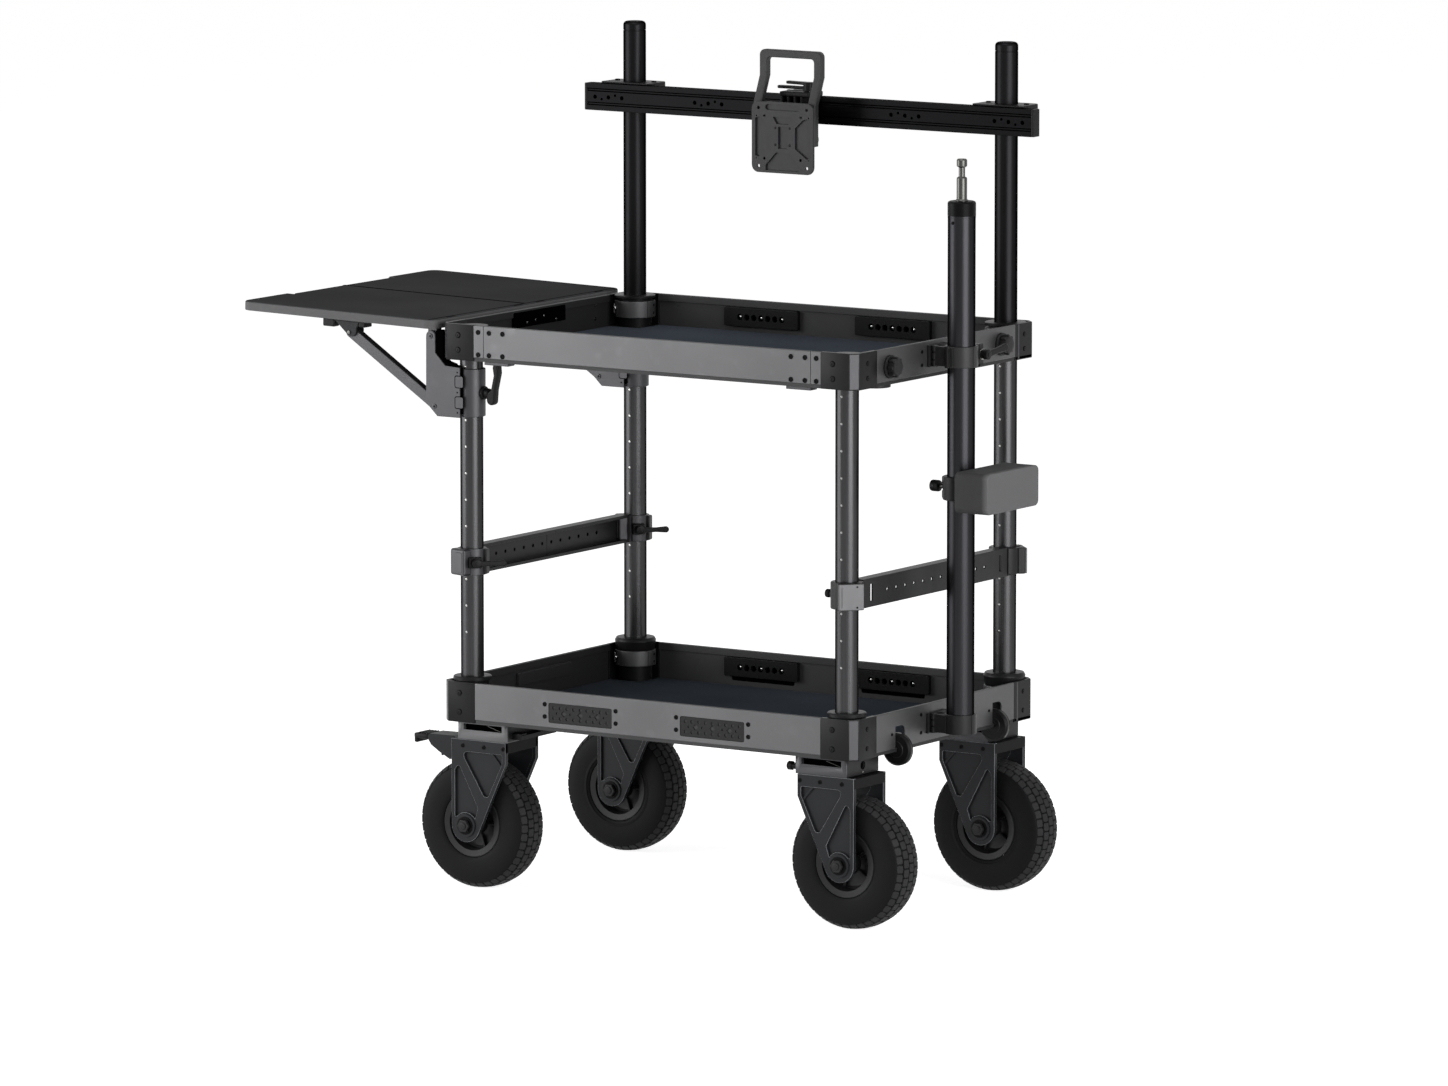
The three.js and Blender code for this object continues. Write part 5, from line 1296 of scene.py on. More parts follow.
def side_box():
    """The box on the mast with its jaws and knob."""
    low, high = local_box("side_box")
    x, y, bore = MAST["x"], MAST["y"], MAST["r"] + MAST_FIT
    face, y0 = x + MAST["r"] + MAST_FIT, y - BOX["back"]
    z, half = sum(BOX["zs"]) / 2, BOX["jaw_half"]
    outline = round_rectangle((y0, y0 + BOX["length"]), BOX["zs"], 9, 8)
    body = prism("side_box_case", outline, "x", face + 1.2, high.x, 2.0, 3)
    jaw = rod("jaw", "z", (x, y), MAST["r"] + 6.3, z - half, z + half, 1.5, 64, bore)
    cheeks = block("cheeks", (x, face + 8), (y - 24, y + 24), (z - half, z + half), 2)
    carve(cheeks, rod("bore", "z", (x, y), bore, z - 30, z + 30, 0, 64))
    lobes = [block("lobe", (low.x + 0.5, x - MAST["r"] - 2), (y - 9, y + 9), zs, 2.2, 3)
             for zs in ((z + 4.5, z + 17), (z - 17, z - 4.5))]
    finished(body, "side_box", "side_box", ("side_box",))
    finished(joined("side_box_jaws", jaw, cheeks, *lobes), "plastic", "side_box")
    low, high = local_box("side_box_knob")
    stem = rod("side_box_stem", "x", (y, z), 3.6, high.x - 9, high.x, 0.4, 24)
    finished(stem, "steel", "side_box_knob", ("side_box_knob",))
    grip = rod("grip", "x", (y, z), 8.8, low.x, high.x - 7, 2.4, 36)
    bar = rod("bar", "y", ((low.x + high.x - 7) / 2, z), 3.4, y - 9, y + 9, 1.6, 20)
    finished(joined("side_box_t_knob", grip, bar), "plastic", "side_box_knob")


# Side bars

SIDE_BAR = {
    "outer": 358.0, "depth": 19, "lip": 5, "wall": 2.6, "low": 489.0, "high": 533.0, "end": 209, "tail": 262,
    "holes": 12, "pitch": 25.4, "hole": 2.9, "slot_y": 185,
}

LEFT_SEAT = 31.3 * math.sqrt(0.5)

RIGHT_SEAT = 25.3


def about_post(x, y, turn, *pieces):
    """Carries pieces modelled about the posts' middle to a post, turned in degrees."""
    for piece in pieces:
        piece.data.transform(moved(x, y, 0, turn))


def right_clamp(name, body, x, y, low, high, turn):
    """A right post's clamp: a dark collar with a pale square cover that faces away from the cart's corner."""
    jaw = rod("jaw", "z", (x, y), 24.8, low, high, 1.6, 56, POST_R + 0.3)
    pad = block("pad", (16, 28.4), (-19.5, 19.5), (low, high), 2.2, 3)
    plate = block(f"{name}_plate", (27.5, 31), (-19.5, 19.5), (low + 0.6, high - 0.6), 1.4, 3)
    carve(plate, block("groove", (29.8, 40), (-16.4, -14.0), (low + 5, high - 5)))
    marks = [rod("mark", "x", (9, z), 1.5, 30.4, 31.3, 0.2, 14) for z in (low + 5, high - 5)]
    mark = joined(f"{name}_plate_marks", *marks)
    about_post(x, y, turn, pad, plate, mark)
    finished(joined(name, jaw, pad), "fitting", body)
    finished(plate, "mount_block", body)
    finished(mark, "screw", body)


def left_clamp(name, body, x, y, low, high, end):
    """A left post's clamp: a grey collar with a dark lever socket, a padded block and an end block."""
    middle = (low + high) / 2
    jaw = rod("jaw", "z", (x, y), 22.4, low, high, 1.2, 56, POST_R + 0.3)
    slots = [block("slot", (x - 11, x - 8.4), (y - 30, y - 10), zs)
             for zs in ((low - 3, low + 6), (high - 6, high + 3))]
    carve(jaw, *slots)
    socket = block(f"{name}_lever_socket", (18, 30.6), (-10, 10), (middle - 8.5, middle + 8.5), 2, 3)
    side_pad = block("side_pad", (14, 30.5), (-17, 17), (low, high), 4, 4)
    carve(side_pad, rod("bore", "z", (0, 0), POST_R + 0.4, low - 10, high + 10, 0, 40))
    raised = block(f"{name}_pad", (29.5, 31.6), (-1, 13), (low + 5, high - 5), 1.4, 3)
    lug = block(f"{name}_end_block", (15, 26), (-8, 8), (low + 1, high - 1), 2, 3)
    seam = block(f"{name}_seam", (22.0, 22.75), (-0.9, 0.9), (low + 0.8, high - 0.8))
    about_post(x, y, -45, socket)
    about_post(x, y, -107 if end == "front" else -135, side_pad, raised)
    about_post(x, y, 15, lug)
    about_post(x, y, -70, seam)
    finished(socket, "plastic", body)
    finished(seam, "void", body)
    finished(joined(name, jaw, side_pad), "bracket", body)
    finished(raised, "bracket", body)
    finished(lug, "fitting", body)
    if end == "back":
        studs = [rod("stud", "y", (x + dx, middle), 1.8, y - r, y - r + 3, 0.4, 14)
                 for dx, r in ((-8, 23), (-12, 22), (-18, 17))]
        finished(joined(f"{name}_studs", *studs), "bright", body)


def side_bar_channel(side, sx):
    """A folded channel and its row of holes: open slots on the right, closed holes and a seam on the left."""
    body = f"side_bar_{side}"
    outer, end = SIDE_BAR["outer"], SIDE_BAR["end"]
    low, high, wall = SIDE_BAR["low"], SIDE_BAR["high"], SIDE_BAR["wall"]
    inner, lip = outer - SIDE_BAR["depth"], SIDE_BAR["lip"]
    z = (low + high) / 2
    section = [(outer, low), (outer, high), (inner, high), (inner, high - lip), (inner + 2, high - lip),
               (inner + 2, high - wall), (outer - wall, high - wall), (outer - wall, low + wall),
               (inner + 2, low + wall), (inner + 2, low + lip), (inner, low + lip), (inner, low)]
    channel = prism("channel", [(sx * x, z) for x, z in section], "y", -end, end, 0.6)
    parts = [channel]
    if sx > 0:
        radius = (high - low) / 2
        tail = arc((SIDE_BAR["tail"] - radius, z), radius, -90, 90, 12) + [(end - 4, high), (end - 4, low)]
        parts.append(prism("tail", tail, "x", outer - wall, outer, 0.6))
    ys = [(i - (SIDE_BAR["holes"] - 1) / 2) * SIDE_BAR["pitch"] for i in range(SIDE_BAR["holes"])]
    through = span(sx, outer - 8, outer + 5)
    drills = [rod("drill", "x", (y, z), SIDE_BAR["hole"], *through, 0, 16) for y in ys]
    if sx > 0:
        drills += [block("window", through, (y - 3.2, y + 3.2), (z - 13, z + 13))
                   for y in (-SIDE_BAR["slot_y"], SIDE_BAR["slot_y"])]
    carve(channel, joined("drills", *drills))
    if sx < 0:
        # Dark plugs at the bottom of the holes: painted shade in place of the view through them
        plugs = [rod("plug", "x", (y, z), SIDE_BAR["hole"] - 0.1, *span(sx, outer - 1.9, outer - 0.7), 0, 16)
                 for y in ys]
        finished(joined(f"{body}_hole_bottoms", *plugs), "void", body)
        seam = block("seam", (sx * outer - 30, sx * outer + 30), (-0.5, 0.5), (low + 2.7, high - 2.7))
        carve(channel, seam)
    finished(joined(f"{body}_channel", *parts), "fitting", body, (body,))


def side_bar(side, sx):
    """One channel, its post clamps and their levers."""
    side_bar_channel(side, sx)
    body = f"side_bar_{side}"
    low, high = SIDE_BAR["low"] + 1.5, SIDE_BAR["high"] - 1.5
    z = (low + high) / 2
    for end, sy in ENDS.items():
        x, y = sx * POST_X, sy * POST_Y
        name = f"{body}_clamp_{end}"
        lever = f"side_bar_lever_{end}_{side}"
        if side == "left":
            left_clamp(name, body, x, y, low, high, end)
            place, screw, arm = (x + LEFT_SEAT, y - LEFT_SEAT, z), (1, -1, 0), (1, 1, 0)
        else:
            right_clamp(name, body, x, y, low, high, sy * 45)
            place, screw, arm = (x - RIGHT_SEAT, y, z), (-1, 0, 0), (0, -sy, 0)
        clamp_lever(f"{lever}_grip", place, screw, arm, lever, side)


# Shelf

SHELF = {
    "inner": -388.0, "outer": -750.0, "half": 262.0, "top": 884.0, "bottom": 870.0, "corner": 18.0,
    "rise": 8.0, "drop": 1.6, "notch": 138,
}

# Where each bracket's lugs and strut sit along the shelf
STRUT_Y = {"front": -242.0, "back": 212.0}

# The strut's pivots on the bracket and under the shelf, and the shelf's hinge, as (x, z)
LOW_PIVOT = (-391, 749)
HIGH_PIVOT = (-551, 853)
HINGE = (-398, 857)

BRACKET = {"front": -254.0, "sheet": 4, "apart": 20, "clamp_low": 735, "clamp_high": 809}

# The bracket's cheek as (x, z), without its rounded top
CHEEK = [(-407, 754), (-386, 734), (-337, 734), (-337, 811), (-371, 813), (-389.5, 832), (-389.5, 857)]

# The outline of the dark web between a bracket's cheeks, as (x, z): painted shade
SHADE_SHEET = [(-389.4, 866), (-389.4, 826), (-371, 811.5), (-352, 809), (-352, 740), (-341, 740), (-341, 810.5),
          (-353, 812.5), (-376.2, 819), (-376.2, 866)]

KNUCKLES = ((749, 766), (781, 798))

SHELF_LEVER = {"x": -318.55, "z": 772.0}


def shelf_outline(inset):
    """The panel's outline, its outer edge set back between two notches."""
    outer, inner, half = SHELF["outer"] + inset, SHELF["inner"] - inset, SHELF["half"] - inset
    corners = round_rectangle((outer, inner), (-half, half), SHELF["corner"] - inset, 8)
    at = len(corners) * 3 // 4
    edge, root, recess = SHELF["notch"] + inset, outer + 13, outer + 9
    near = edge - 6 - 2 * inset
    notches = [(outer, edge), (root, edge), (root, near), (recess, near)]
    return corners[:at] + notches + [(x, -y) for x, y in reversed(notches)] + corners[at:]


def lifted(*pieces):
    """Gives pieces of the shelf the small rise of its panel towards the outer edge."""
    angle = math.atan2(SHELF["rise"], SHELF["inner"] - SHELF["outer"])
    place = spot(SHELF["inner"], 0, SHELF["bottom"])
    matrix = (Matrix.Translation(place - Vector((0, 0, SHELF["drop"] * MM))) @ Matrix.Rotation(angle, 4, "Y")
              @ Matrix.Translation(-place))
    for piece in pieces:
        piece.data.transform(matrix)


def side_shelf():
    """The two-board shelf panel with its edge band, seams and hinge strip."""
    inner, outer, half, top, bottom = [SHELF[key] for key in ("inner", "outer", "half", "top", "bottom")]
    core = prism("side_shelf_core", shelf_outline(0), "z", bottom, top - 1.0, 0.8)
    face = prism("side_shelf_face", shelf_outline(1.0), "z", top - 2, top, 0.4)
    inlay = (top - 1, top + 0.12)
    lines = [block("seam", (outer + 8, inner - 11), (1, 7), inlay),
             block("strip", (inner - 12, inner - 9.4), (-half + 4, half - 4), inlay)]
    lines += [block("hinge_slot", (inner - 8, inner - 5), (y - 11, y + 11), inlay)
              for y in (-205, -20, 40, 205)]
    seams = joined("side_shelf_seams", *lines)
    lifted(core, face, seams)
    finished(seams, "void", "side_shelf")
    finished(face, "shelf", "side_shelf")
    finished(core, "shelf_edge", "side_shelf", ("side_shelf",))
    for end, y in STRUT_Y.items():
        shelf_fittings(end, y)


def shelf_fittings(end, y):
    """What is fixed under the shelf above a bracket: hinge lug, strut ears and their pin, rail and latch."""
    bottom = SHELF["bottom"]
    lug = rod("lug", "y", HINGE, 8.3, y - 7, y + 7, 0.8, 36)
    neck = block("neck", (-406, -390), (y - 7, y + 7), (HINGE[1], bottom - 0.4), 0.6)
    outline = [(-581, bottom + 0.5), (-532, bottom + 0.5)] + arc((-547, 854), 9.5, 20, -130)
    ears = [prism("ear", outline, "y", *sorted((y + sy * 7.8, y + sy * 7.8 + sy * 3)), 0.6) for sy in (-1, 1)]
    rail_piece = block("rail", (-596, -517), (y - 11, y + 11), (bottom - 3, bottom + 0.4), 0.8)
    latch = block("latch", (-600, -578), (y - 12, y + 3), (bottom - 13, bottom), 2.2, 3)
    cleat = block("cleat", (-534, -522), (y - 10, y + 10), (bottom - 10, bottom - 2), 1.6)
    lifted(*ears, rail_piece, latch, cleat)
    finished(joined(f"shelf_lugs_{end}", lug, neck), "bracket", "side_shelf")
    finished(joined(f"shelf_ears_{end}", *ears), "fork", "side_shelf")
    finished(joined(f"shelf_latch_{end}", rail_piece, latch, cleat), "plastic", "side_shelf")
    pin = rod(f"shelf_ear_pin_{end}", "y", HIGH_PIVOT, 3.0, y - 12.4, y - 10.6, 0.5, 24)
    finished(pin, "steel", "side_shelf")


def shelf_bracket(end, sy):
    """Two cheeks and a web between them in painted shade, the tube clamp with its knuckles, and the lever."""
    name = f"shelf_bracket_{end}"
    post = (-POST_X, sy * POST_Y)
    y0 = BRACKET["front"] + (0.0 if sy < 0 else 2 * POST_Y)
    outline = CHEEK + arc(HINGE, 8.5, 0, 180, 10)[1:]
    cheeks = [prism("cheek", outline, "y", y, y + BRACKET["sheet"], 0.7) for y in (y0, y0 + BRACKET["apart"])]
    for cheek in cheeks:
        carve(cheek, rod("bore", "z", post, POST_R + 0.3, 700, 840, 0, 56))
    carve(cheeks[0], block("gap", (-344, -330), (y0 - 3, y0 + 6), (730, 812)))
    lining = prism(f"{name}_lining", SHADE_SHEET, "y", y0 + 2.2, y0 + 20.5, 0.4)
    # The web is painted shade between the cheeks
    finished(lining, "void", "frame")
    clamp = rod("clamp", "z", post, POST_R + 3.9, BRACKET["clamp_low"], BRACKET["clamp_high"],
                1.2, 60, POST_R + 0.3)
    carve(clamp, block("slit", (post[0] - 30, post[0] - 14), (post[1] - 1, post[1] + 1), (730, 812)))
    carve(lining, rod("bore", "z", post, POST_R + 4.1, 700, 840, 0, 56))
    finished(joined(f"{name}_body", *cheeks, clamp), "bracket", "frame", (name,))
    knuckles = [prism("knuckle", round_rectangle((-352, -338), zs, 2.6, 4), "y", y0 - 0.35, y0 + 2, 0.2)
                for zs in KNUCKLES]
    finished(joined(f"{name}_knuckles", *knuckles), "bracket", "frame")
    outlines = [round_rectangle((-353.4, -338), (low - 1.3, high + 1.3), 3.4, 4) for low, high in KNUCKLES]
    seams = [prism("seam", outline, "y", y0 - 0.15, y0 + 2) for outline in outlines]
    finished(joined(f"{name}_knuckle_seams", *seams), "void", "frame")
    pins = [rod("pin", "y", place, 4.0, y0 - 1.2, y0 + 25.4, 0.8, 24) for place in (HINGE, LOW_PIVOT)]
    finished(joined(f"{name}_pins", *pins), "bracket", "frame")
    marks = [rod("socket", "y", place, 1.8, y0 - 1.5, y0, 0, 6) for place in (HINGE, LOW_PIVOT)]
    marks += [rod("dot", "y", (-348.5, z), 1.4, y0 - 0.4, y0 + 1, 0.2, 14) for z in (804, 742, 773)]
    finished(joined(f"{name}_marks", *marks), "screw", "frame")
    shelf_lever(end, sy)
    strut(end)


def shelf_lever(end, sy):
    """The curved clamp handle beside a shelf bracket."""
    lever = f"shelf_lever_{end}"
    x, y, z = SHELF_LEVER["x"], sy * POST_Y, SHELF_LEVER["z"]
    collar = rod("collar", "x", (y, z), 10.4, x, x + 4, 1.2, 36)
    hub = rod("hub", "x", (y, z), 7.4, x + 3, x + 12, 1.2, 30)
    outline = ([(x + 9, z + 1), (x + 9, z - 9)] + arc((x + 17, z - 10), 8, 190, 340)
               + [(x + 26, z + 6), (x + 32, z + 32), (x + 31, z + 43)] + arc((x + 26, z + 43), 5, 10, 160, 6)
               + [(x + 20, z + 40), (x + 22, z + 28), (x + 17, z + 6)])
    grip = prism("grip", outline, "y", y - 6.2, y + 6.2, 3.0, 4)
    finished(joined(f"{lever}_grip", collar, hub, grip), "plastic", lever, (lever,))


def strut(end):
    """A channel with rounded eyes from the bracket's low pivot to the ears under the shelf."""
    across, rise = LOW_PIVOT[0] - HIGH_PIVOT[0], HIGH_PIVOT[1] - LOW_PIVOT[1]
    length = math.hypot(across, rise)
    body = f"shelf_strut_{end}"
    outline = arc((0, 0), 8.5, -90, 90, 10) + arc((-length, 0), 8.5, 90, 270, 10)
    channel = prism(f"{body}_channel", outline, "y", -7.2, 7.2, 0.8)
    carve(channel, block("trough", (-length + 14, -14), (-4.6, 4.6), (2.5, 20)))
    lining = block(f"{body}_lining", (-length + 14.3, -14.3), (-4.5, 4.5), (2.4, 4.0))
    lean = math.degrees(math.atan2(rise, across))
    for piece in (channel, lining):
        piece.data.transform(moved(LOW_PIVOT[0], STRUT_Y[end], LOW_PIVOT[1], lean, "Y"))
    finished(channel, "bracket", body, (body,))
    # A dark sheet at the bottom of the trough: painted shade
    finished(lining, "void", body)


# Casters, modelled at the front right and mirrored to the other corners

FORK = {
    "outer": 45.5, "plate": 7.0, "back": 42.0, "front": 58.0, "top": 235.7, "strip": 17.0, "shoulder": 202.0,
    "hub": 25.8, "trail": 32.0,
}

# The fork's pockets and its small gusset as (distance from the swivel, height)
UPPER_POCKET = [(-36, 217), (-36, 203), (-10, 149), (-2, 149), (35, 208), (35, 214), (31, 217)]
LOWER_POCKET = ([(52, 188), (47, 194), (43, 194), (9, 130), (12, 121)]
                + arc((FORK["trail"], AXLE["z"]), 20.5, 148, 38) + [(52, 114)])
GUSSET = [(-17, 217.5), (-13, 217.5), (-35.5, 192), (-36.5, 196)]

# The rim's and the tyre's profiles as (radius, distance from the middle)
RIM = [(6.3, 31), (15, 31), (16, 30), (17, 9), (24, 6), (36, 7), (39.5, 10), (40.5, 26.5), (41.4, 28.4),
       (50.4, 29.4), (51.4, 28.8), (51.6, 27), (49.4, 24), (47.5, 10)]
CARCASS = [(52.2, 29), (54.5, 30.6), (58, 31.2), (63, 31.8), (70, 32), (77, 31.8), (84, 30.9), (88.5, 29.4),
           (91, 28.6), (92.4, 27), (94.5, 23.5), (96.6, 18), (98.2, 10), (98.6, 0)]
RIM_RIBS = 5

# Rings of tread blocks: place across, height, width, lean in degrees and phase in blocks
TREAD = ((0.0, 101.4, 11.2, 0, 0.0), (12.8, 100.4, 11.0, 8, 0.5), (-12.8, 100.4, 11.0, -8, 0.5),
         (24.6, 96.0, 9.6, 36, 0.0), (-24.6, 96.0, 9.6, -36, 0.0))
BLOCK_CUT = 1.6

# The pedals' hinge on the mirrored side of the swivel, and how far a pedal presses, in degrees
PEDAL = {"hinge": 68, "hinge_z": 222.0, "press": 10, "tyre_room": 1.8, "pad_top": 232.6}

MOUNT_SIDE = 45.5
MOUNT_EYE_Z = 249.9


def fork_outline(inset=0.0):
    """The side plate as (x, z) points about the swivel axis."""
    hub = FORK["hub"] - inset
    back, front = FORK["back"] - inset, FORK["front"] - inset
    dx, dz = FORK["trail"] + back, FORK["shoulder"] - AXLE["z"]
    tangent = math.degrees(math.atan2(dz, -dx) + math.acos(hub / math.hypot(dx, dz)))
    return ([(-back, FORK["top"]), (-back, FORK["shoulder"])]
            + arc((FORK["trail"], AXLE["z"]), hub, tangent, 360, 24) + [(front, FORK["top"])])


def beside_swivel(points):
    """Points counted from the swivel axis, as (x, z) places."""
    return [(SWIVEL_X + u, z) for u, z in points]


def with_painted_edge_highlights(piece, radius):
    """Rounds the edges of a fork's part and paints them lighter than its faces, as painted highlights."""
    for name in ("fork", "fork_edge"):
        piece.data.materials.append(FINISHES[name])
    return modify(piece, "BEVEL", width=radius * MM, segments=2, limit_method="ANGLE",
                  angle_limit=math.radians(BEVEL_ANGLE), material=1)


def fork_plate(inner, face, sy):
    """One side plate with its two pockets cut through and painted highlights on its edges."""
    plate = prism("plate", beside_swivel(fork_outline()), "y", *sorted((inner, face)))
    for outline in (UPPER_POCKET, LOWER_POCKET):
        pocket = prism("pocket", beside_swivel(outline), "y", *sorted((inner - sy * 4, face + sy * 4)))
        pick(pocket)
        modify(pocket, "BEVEL", width=3.4 * MM, segments=3, affect="EDGES", limit_method="ANGLE",
               angle_limit=math.radians(14))
        carve(plate, pocket)
    return with_painted_edge_highlights(plate, 2.2)


def caster_fork():
    """A pair of ribbed side plates with sunk panels under a top strip, the axle bolt and its washers."""
    cx, cy = SWIVEL_X, AXLE["y"]
    axle = (AXLE["x"], AXLE["z"])
    outer, top_z = FORK["outer"], FORK["top"]
    top = block("top", (cx - FORK["back"], cx + FORK["front"]), (cy - outer + 0.4, cy + outer - 0.4),
                (top_z - FORK["strip"], top_z), 1.2, 3)
    top.data.materials.append(FINISHES["screw"])
    parts, bolts, washers, plain_parts = [top], [], [], []
    for sy in (-1, 1):
        face = cy + sy * outer
        inner = cy + sy * (outer - FORK["plate"])
        parts.append(fork_plate(inner, face, sy))
        panel = prism("panel", beside_swivel(fork_outline(5.0)), "y",
                      *sorted((inner + sy * 0.3, face - sy * 4.2)))
        gusset = prism("gusset", beside_swivel(GUSSET), "y", *sorted((face - sy * 5, face - sy * 2)), 0.4)
        spacer = rod("spacer", "y", axle, 12, *sorted((cy + sy * 31.5, inner)), 0.5, 36)
        ring = turned("ring", [(10, 0), (18.0, 0), (18.0, 2.6), (10, 2.6)], "y",
                      (AXLE["x"], face - (0.4 if sy > 0 else 0), AXLE["z"]), 56, closed=True)
        if sy < 0:
            ring.data.transform(Matrix.Translation((0, -2.2 * MM, 0)))
        plain_parts += [panel, gusset, spacer, soften(ring, 0.7)]
        nut = sorted((face + sy * 3.2, face + sy * 8.5))
        bolts.append(prism("nut", regular(axle, 10.6, 6), "y", *nut, 1.0))
        bolts.append(rod("stud", "y", axle, 5.6, *sorted((face + sy * 8, face + sy * 9.9)), 0.8, 28))
        washers.append(rod("washer", "y", axle, 14, *sorted((face + sy * 1.6, face + sy * 3.4)), 0.5, 40))
    plain_parts.append(rod("kingpin", "z", (cx, cy), 13, top_z - 1, 251, 0.6, 36))
    for part in plain_parts:
        part.data.materials.append(FINISHES["fork"])
    fork = joined("fork", *parts, *plain_parts)
    places = [(cx + u, cy + sy * (outer - 0.3), 226) for u in (-38, -2, 37) for sy in (-1, 1)]
    facing = [aim(place, (0, 1 if place[1] > cy else -1, 0)) for place in places]
    dots = spread(screw_head(3.4, 1.2), "dots", facing)
    return fork, joined("bolt", *bolts), joined("washers_and_dots", joined("washers", *washers), dots)


def wheel_rim():
    """The rim: flat outer ring, dished web with ribs and the hub."""
    centre = (AXLE["x"], AXLE["y"], AXLE["z"])
    profile = [(r, -w) for r, w in RIM] + [(r, w) for r, w in reversed(RIM)]
    rim = turned("rim", profile, "y", centre, 72, closed=True)
    lay = Matrix.Rotation(-FULL_TURN / 4, 4, "X")
    ribs = []
    for k in range(RIM_RIBS):
        spin = Matrix.Rotation((k + 0.5) * FULL_TURN / RIM_RIBS, 4, "Y")
        for zs in ((-12.5, -6), (6, 12.5)):
            rib = block("rib", (16, 40), (-2, 2), zs, 1)
            rib.data.transform(Matrix.Translation(spot(*centre)) @ spin @ lay @ Matrix.Translation(-ORIGIN))
            ribs.append(rib)
    valve = rod("valve", "y", (AXLE["x"] + 33, AXLE["z"] + 4), 2.6, AXLE["y"] - 18, AXLE["y"] - 6, 0.8, 16)
    return joined("rim", rim, *ribs, valve)


def tread_block(half_l, half_w):
    """A tread block with cut corners, its top at the posts' middle."""
    short_l, short_w = half_l - BLOCK_CUT, half_w - BLOCK_CUT
    eight = [(-half_l, -short_w), (-short_l, -half_w), (short_l, -half_w), (half_l, -short_w),
             (half_l, short_w), (short_l, half_w), (-short_l, half_w), (-half_l, short_w)]
    return soften(prism("block", eight, "z", -4.2, 0), 0.6, 1, 60)


def tyre():
    """The tyre's carcass, and its rings of tread blocks."""
    centre = (AXLE["x"], AXLE["y"], AXLE["z"])
    profile = CARCASS + [(r, -w) for r, w in reversed(CARCASS[:-1])] + [(52.2, -26), (52.2, 26)]
    carcass = turned("carcass", profile, "y", centre, 88, closed=True)
    bead = turned("bead", [(56, 31.2), (57, 32), (60, 32), (61, 31.4)], "y", centre, 88, closed=True)
    count = bpy.context.scene.cart_sizes.tread_blocks
    rings = []
    for across, height, width, lean, phase in TREAD:
        tip = Matrix.Rotation(-math.radians(lean), 4, "X")
        matrices = []
        for i in range(count):
            turn = Matrix.Rotation((i + phase) * FULL_TURN / count, 4, "Y")
            matrices.append(Matrix.Translation(spot(AXLE["x"], AXLE["y"] + across, AXLE["z"])) @ turn
                            @ Matrix.Translation((0, 0, height * MM)) @ tip @ Matrix.Translation(-ORIGIN))
        rings.append(spread(tread_block(FULL_TURN * height / count * 0.43, width / 2), "ring", matrices))
    return joined("tyre", carcass, bead), joined("tread", *rings)


def brake_pedal(end):
    """A left caster's brake pedal: a tread plate with grip ribs, its wide arm and a small hook."""
    body = f"brake_pedal_{end}"
    low, high = local_box(body)
    y = (low.y + high.y) / 2
    wide = (high.y - low.y) / 2 - 0.2
    tip = low.x + 11
    pad = [(tip, y - wide * 0.8), (tip + 24, y - wide), (tip + 34, y - wide * 0.8),
           (tip + 34, y + wide * 0.8), (tip + 24, y + wide), (tip, y + wide * 0.8)]
    plate = prism("plate", pad, "z", 224.5, PEDAL["pad_top"], 2.4, 3)
    nose = block("nose", (tip, tip + 7), (y - wide * 0.78, y + wide * 0.78), (217.5, 230), 2.6, 3)
    ribs = [block("rib", (tip + 8 + k * 5.4, tip + 10.6 + k * 5.4), (y - wide + 4, y + wide - 4),
                  (231, 234.2), 0.9) for k in range(4)]
    claw = [(tip + 43, 206), (tip + 47, 212), (tip + 56, 212), (tip + 52, 202), (tip + 44, 198.5)]
    hook = prism("hook", claw, "y", y - 5, y + 5, 1.0)
    finished(joined(f"{body}_tread", plate, nose, *ribs, hook), "plastic", body, (body,))
    arm_side = [(tip + 28, 226), (tip + 30, 234), (high.x - 12, high.z - 0.4), (high.x - 0.6, 229),
                (high.x - 0.6, low.z + 6), (high.x - 12, low.z + 1), (tip + 48, 208), (tip + 34, 217)]
    arm = prism(f"{body}_arm", arm_side, "y", y - 19.4, y + 19.4, 1.4, 3)
    hinge, press = (-SWIVEL_X - PEDAL["hinge"], PEDAL["hinge_z"]), math.radians(PEDAL["press"])
    out, down = -AXLE["x"] - hinge[0], AXLE["z"] - hinge[1]
    pressed = (hinge[0] + out * math.cos(press) + down * math.sin(press),
               hinge[1] - out * math.sin(press) + down * math.cos(press))
    carve(arm, rod("bore", "y", hinge, 3.1, y - 30, y + 30, 0, 24),
          rod("tyre_room", "y", pressed, AXLE["z"] + PEDAL["tyre_room"], y - 30, y + 30, 0, 96))
    finished(arm, "fork", body)


def pedal_hinge(end, sy):
    """The ears and the pin that carry a brake pedal on its fork."""
    x, y, z = -SWIVEL_X - PEDAL["hinge"], sy * -AXLE["y"], PEDAL["hinge_z"]
    widths = [sorted((y + k * 20.4, y + k * 25.2)) for k in (-1, 1)]
    ears = [block("ear", (x, x + 10.5), ys, (z - 7, z + 7), 0.6) for ys in widths]
    eyes = [rod("eye", "y", (x, z), 7, *ys, 0.6, 28) for ys in widths]
    finished(joined(f"pedal_ears_{end}", *ears, *eyes), "fork", f"caster_{end}_left")
    pin = rod(f"pedal_pin_{end}", "y", (x, z), 3, y - 26.5, y + 26.5, 0.6, 20)
    finished(pin, "steel", f"caster_{end}_left")


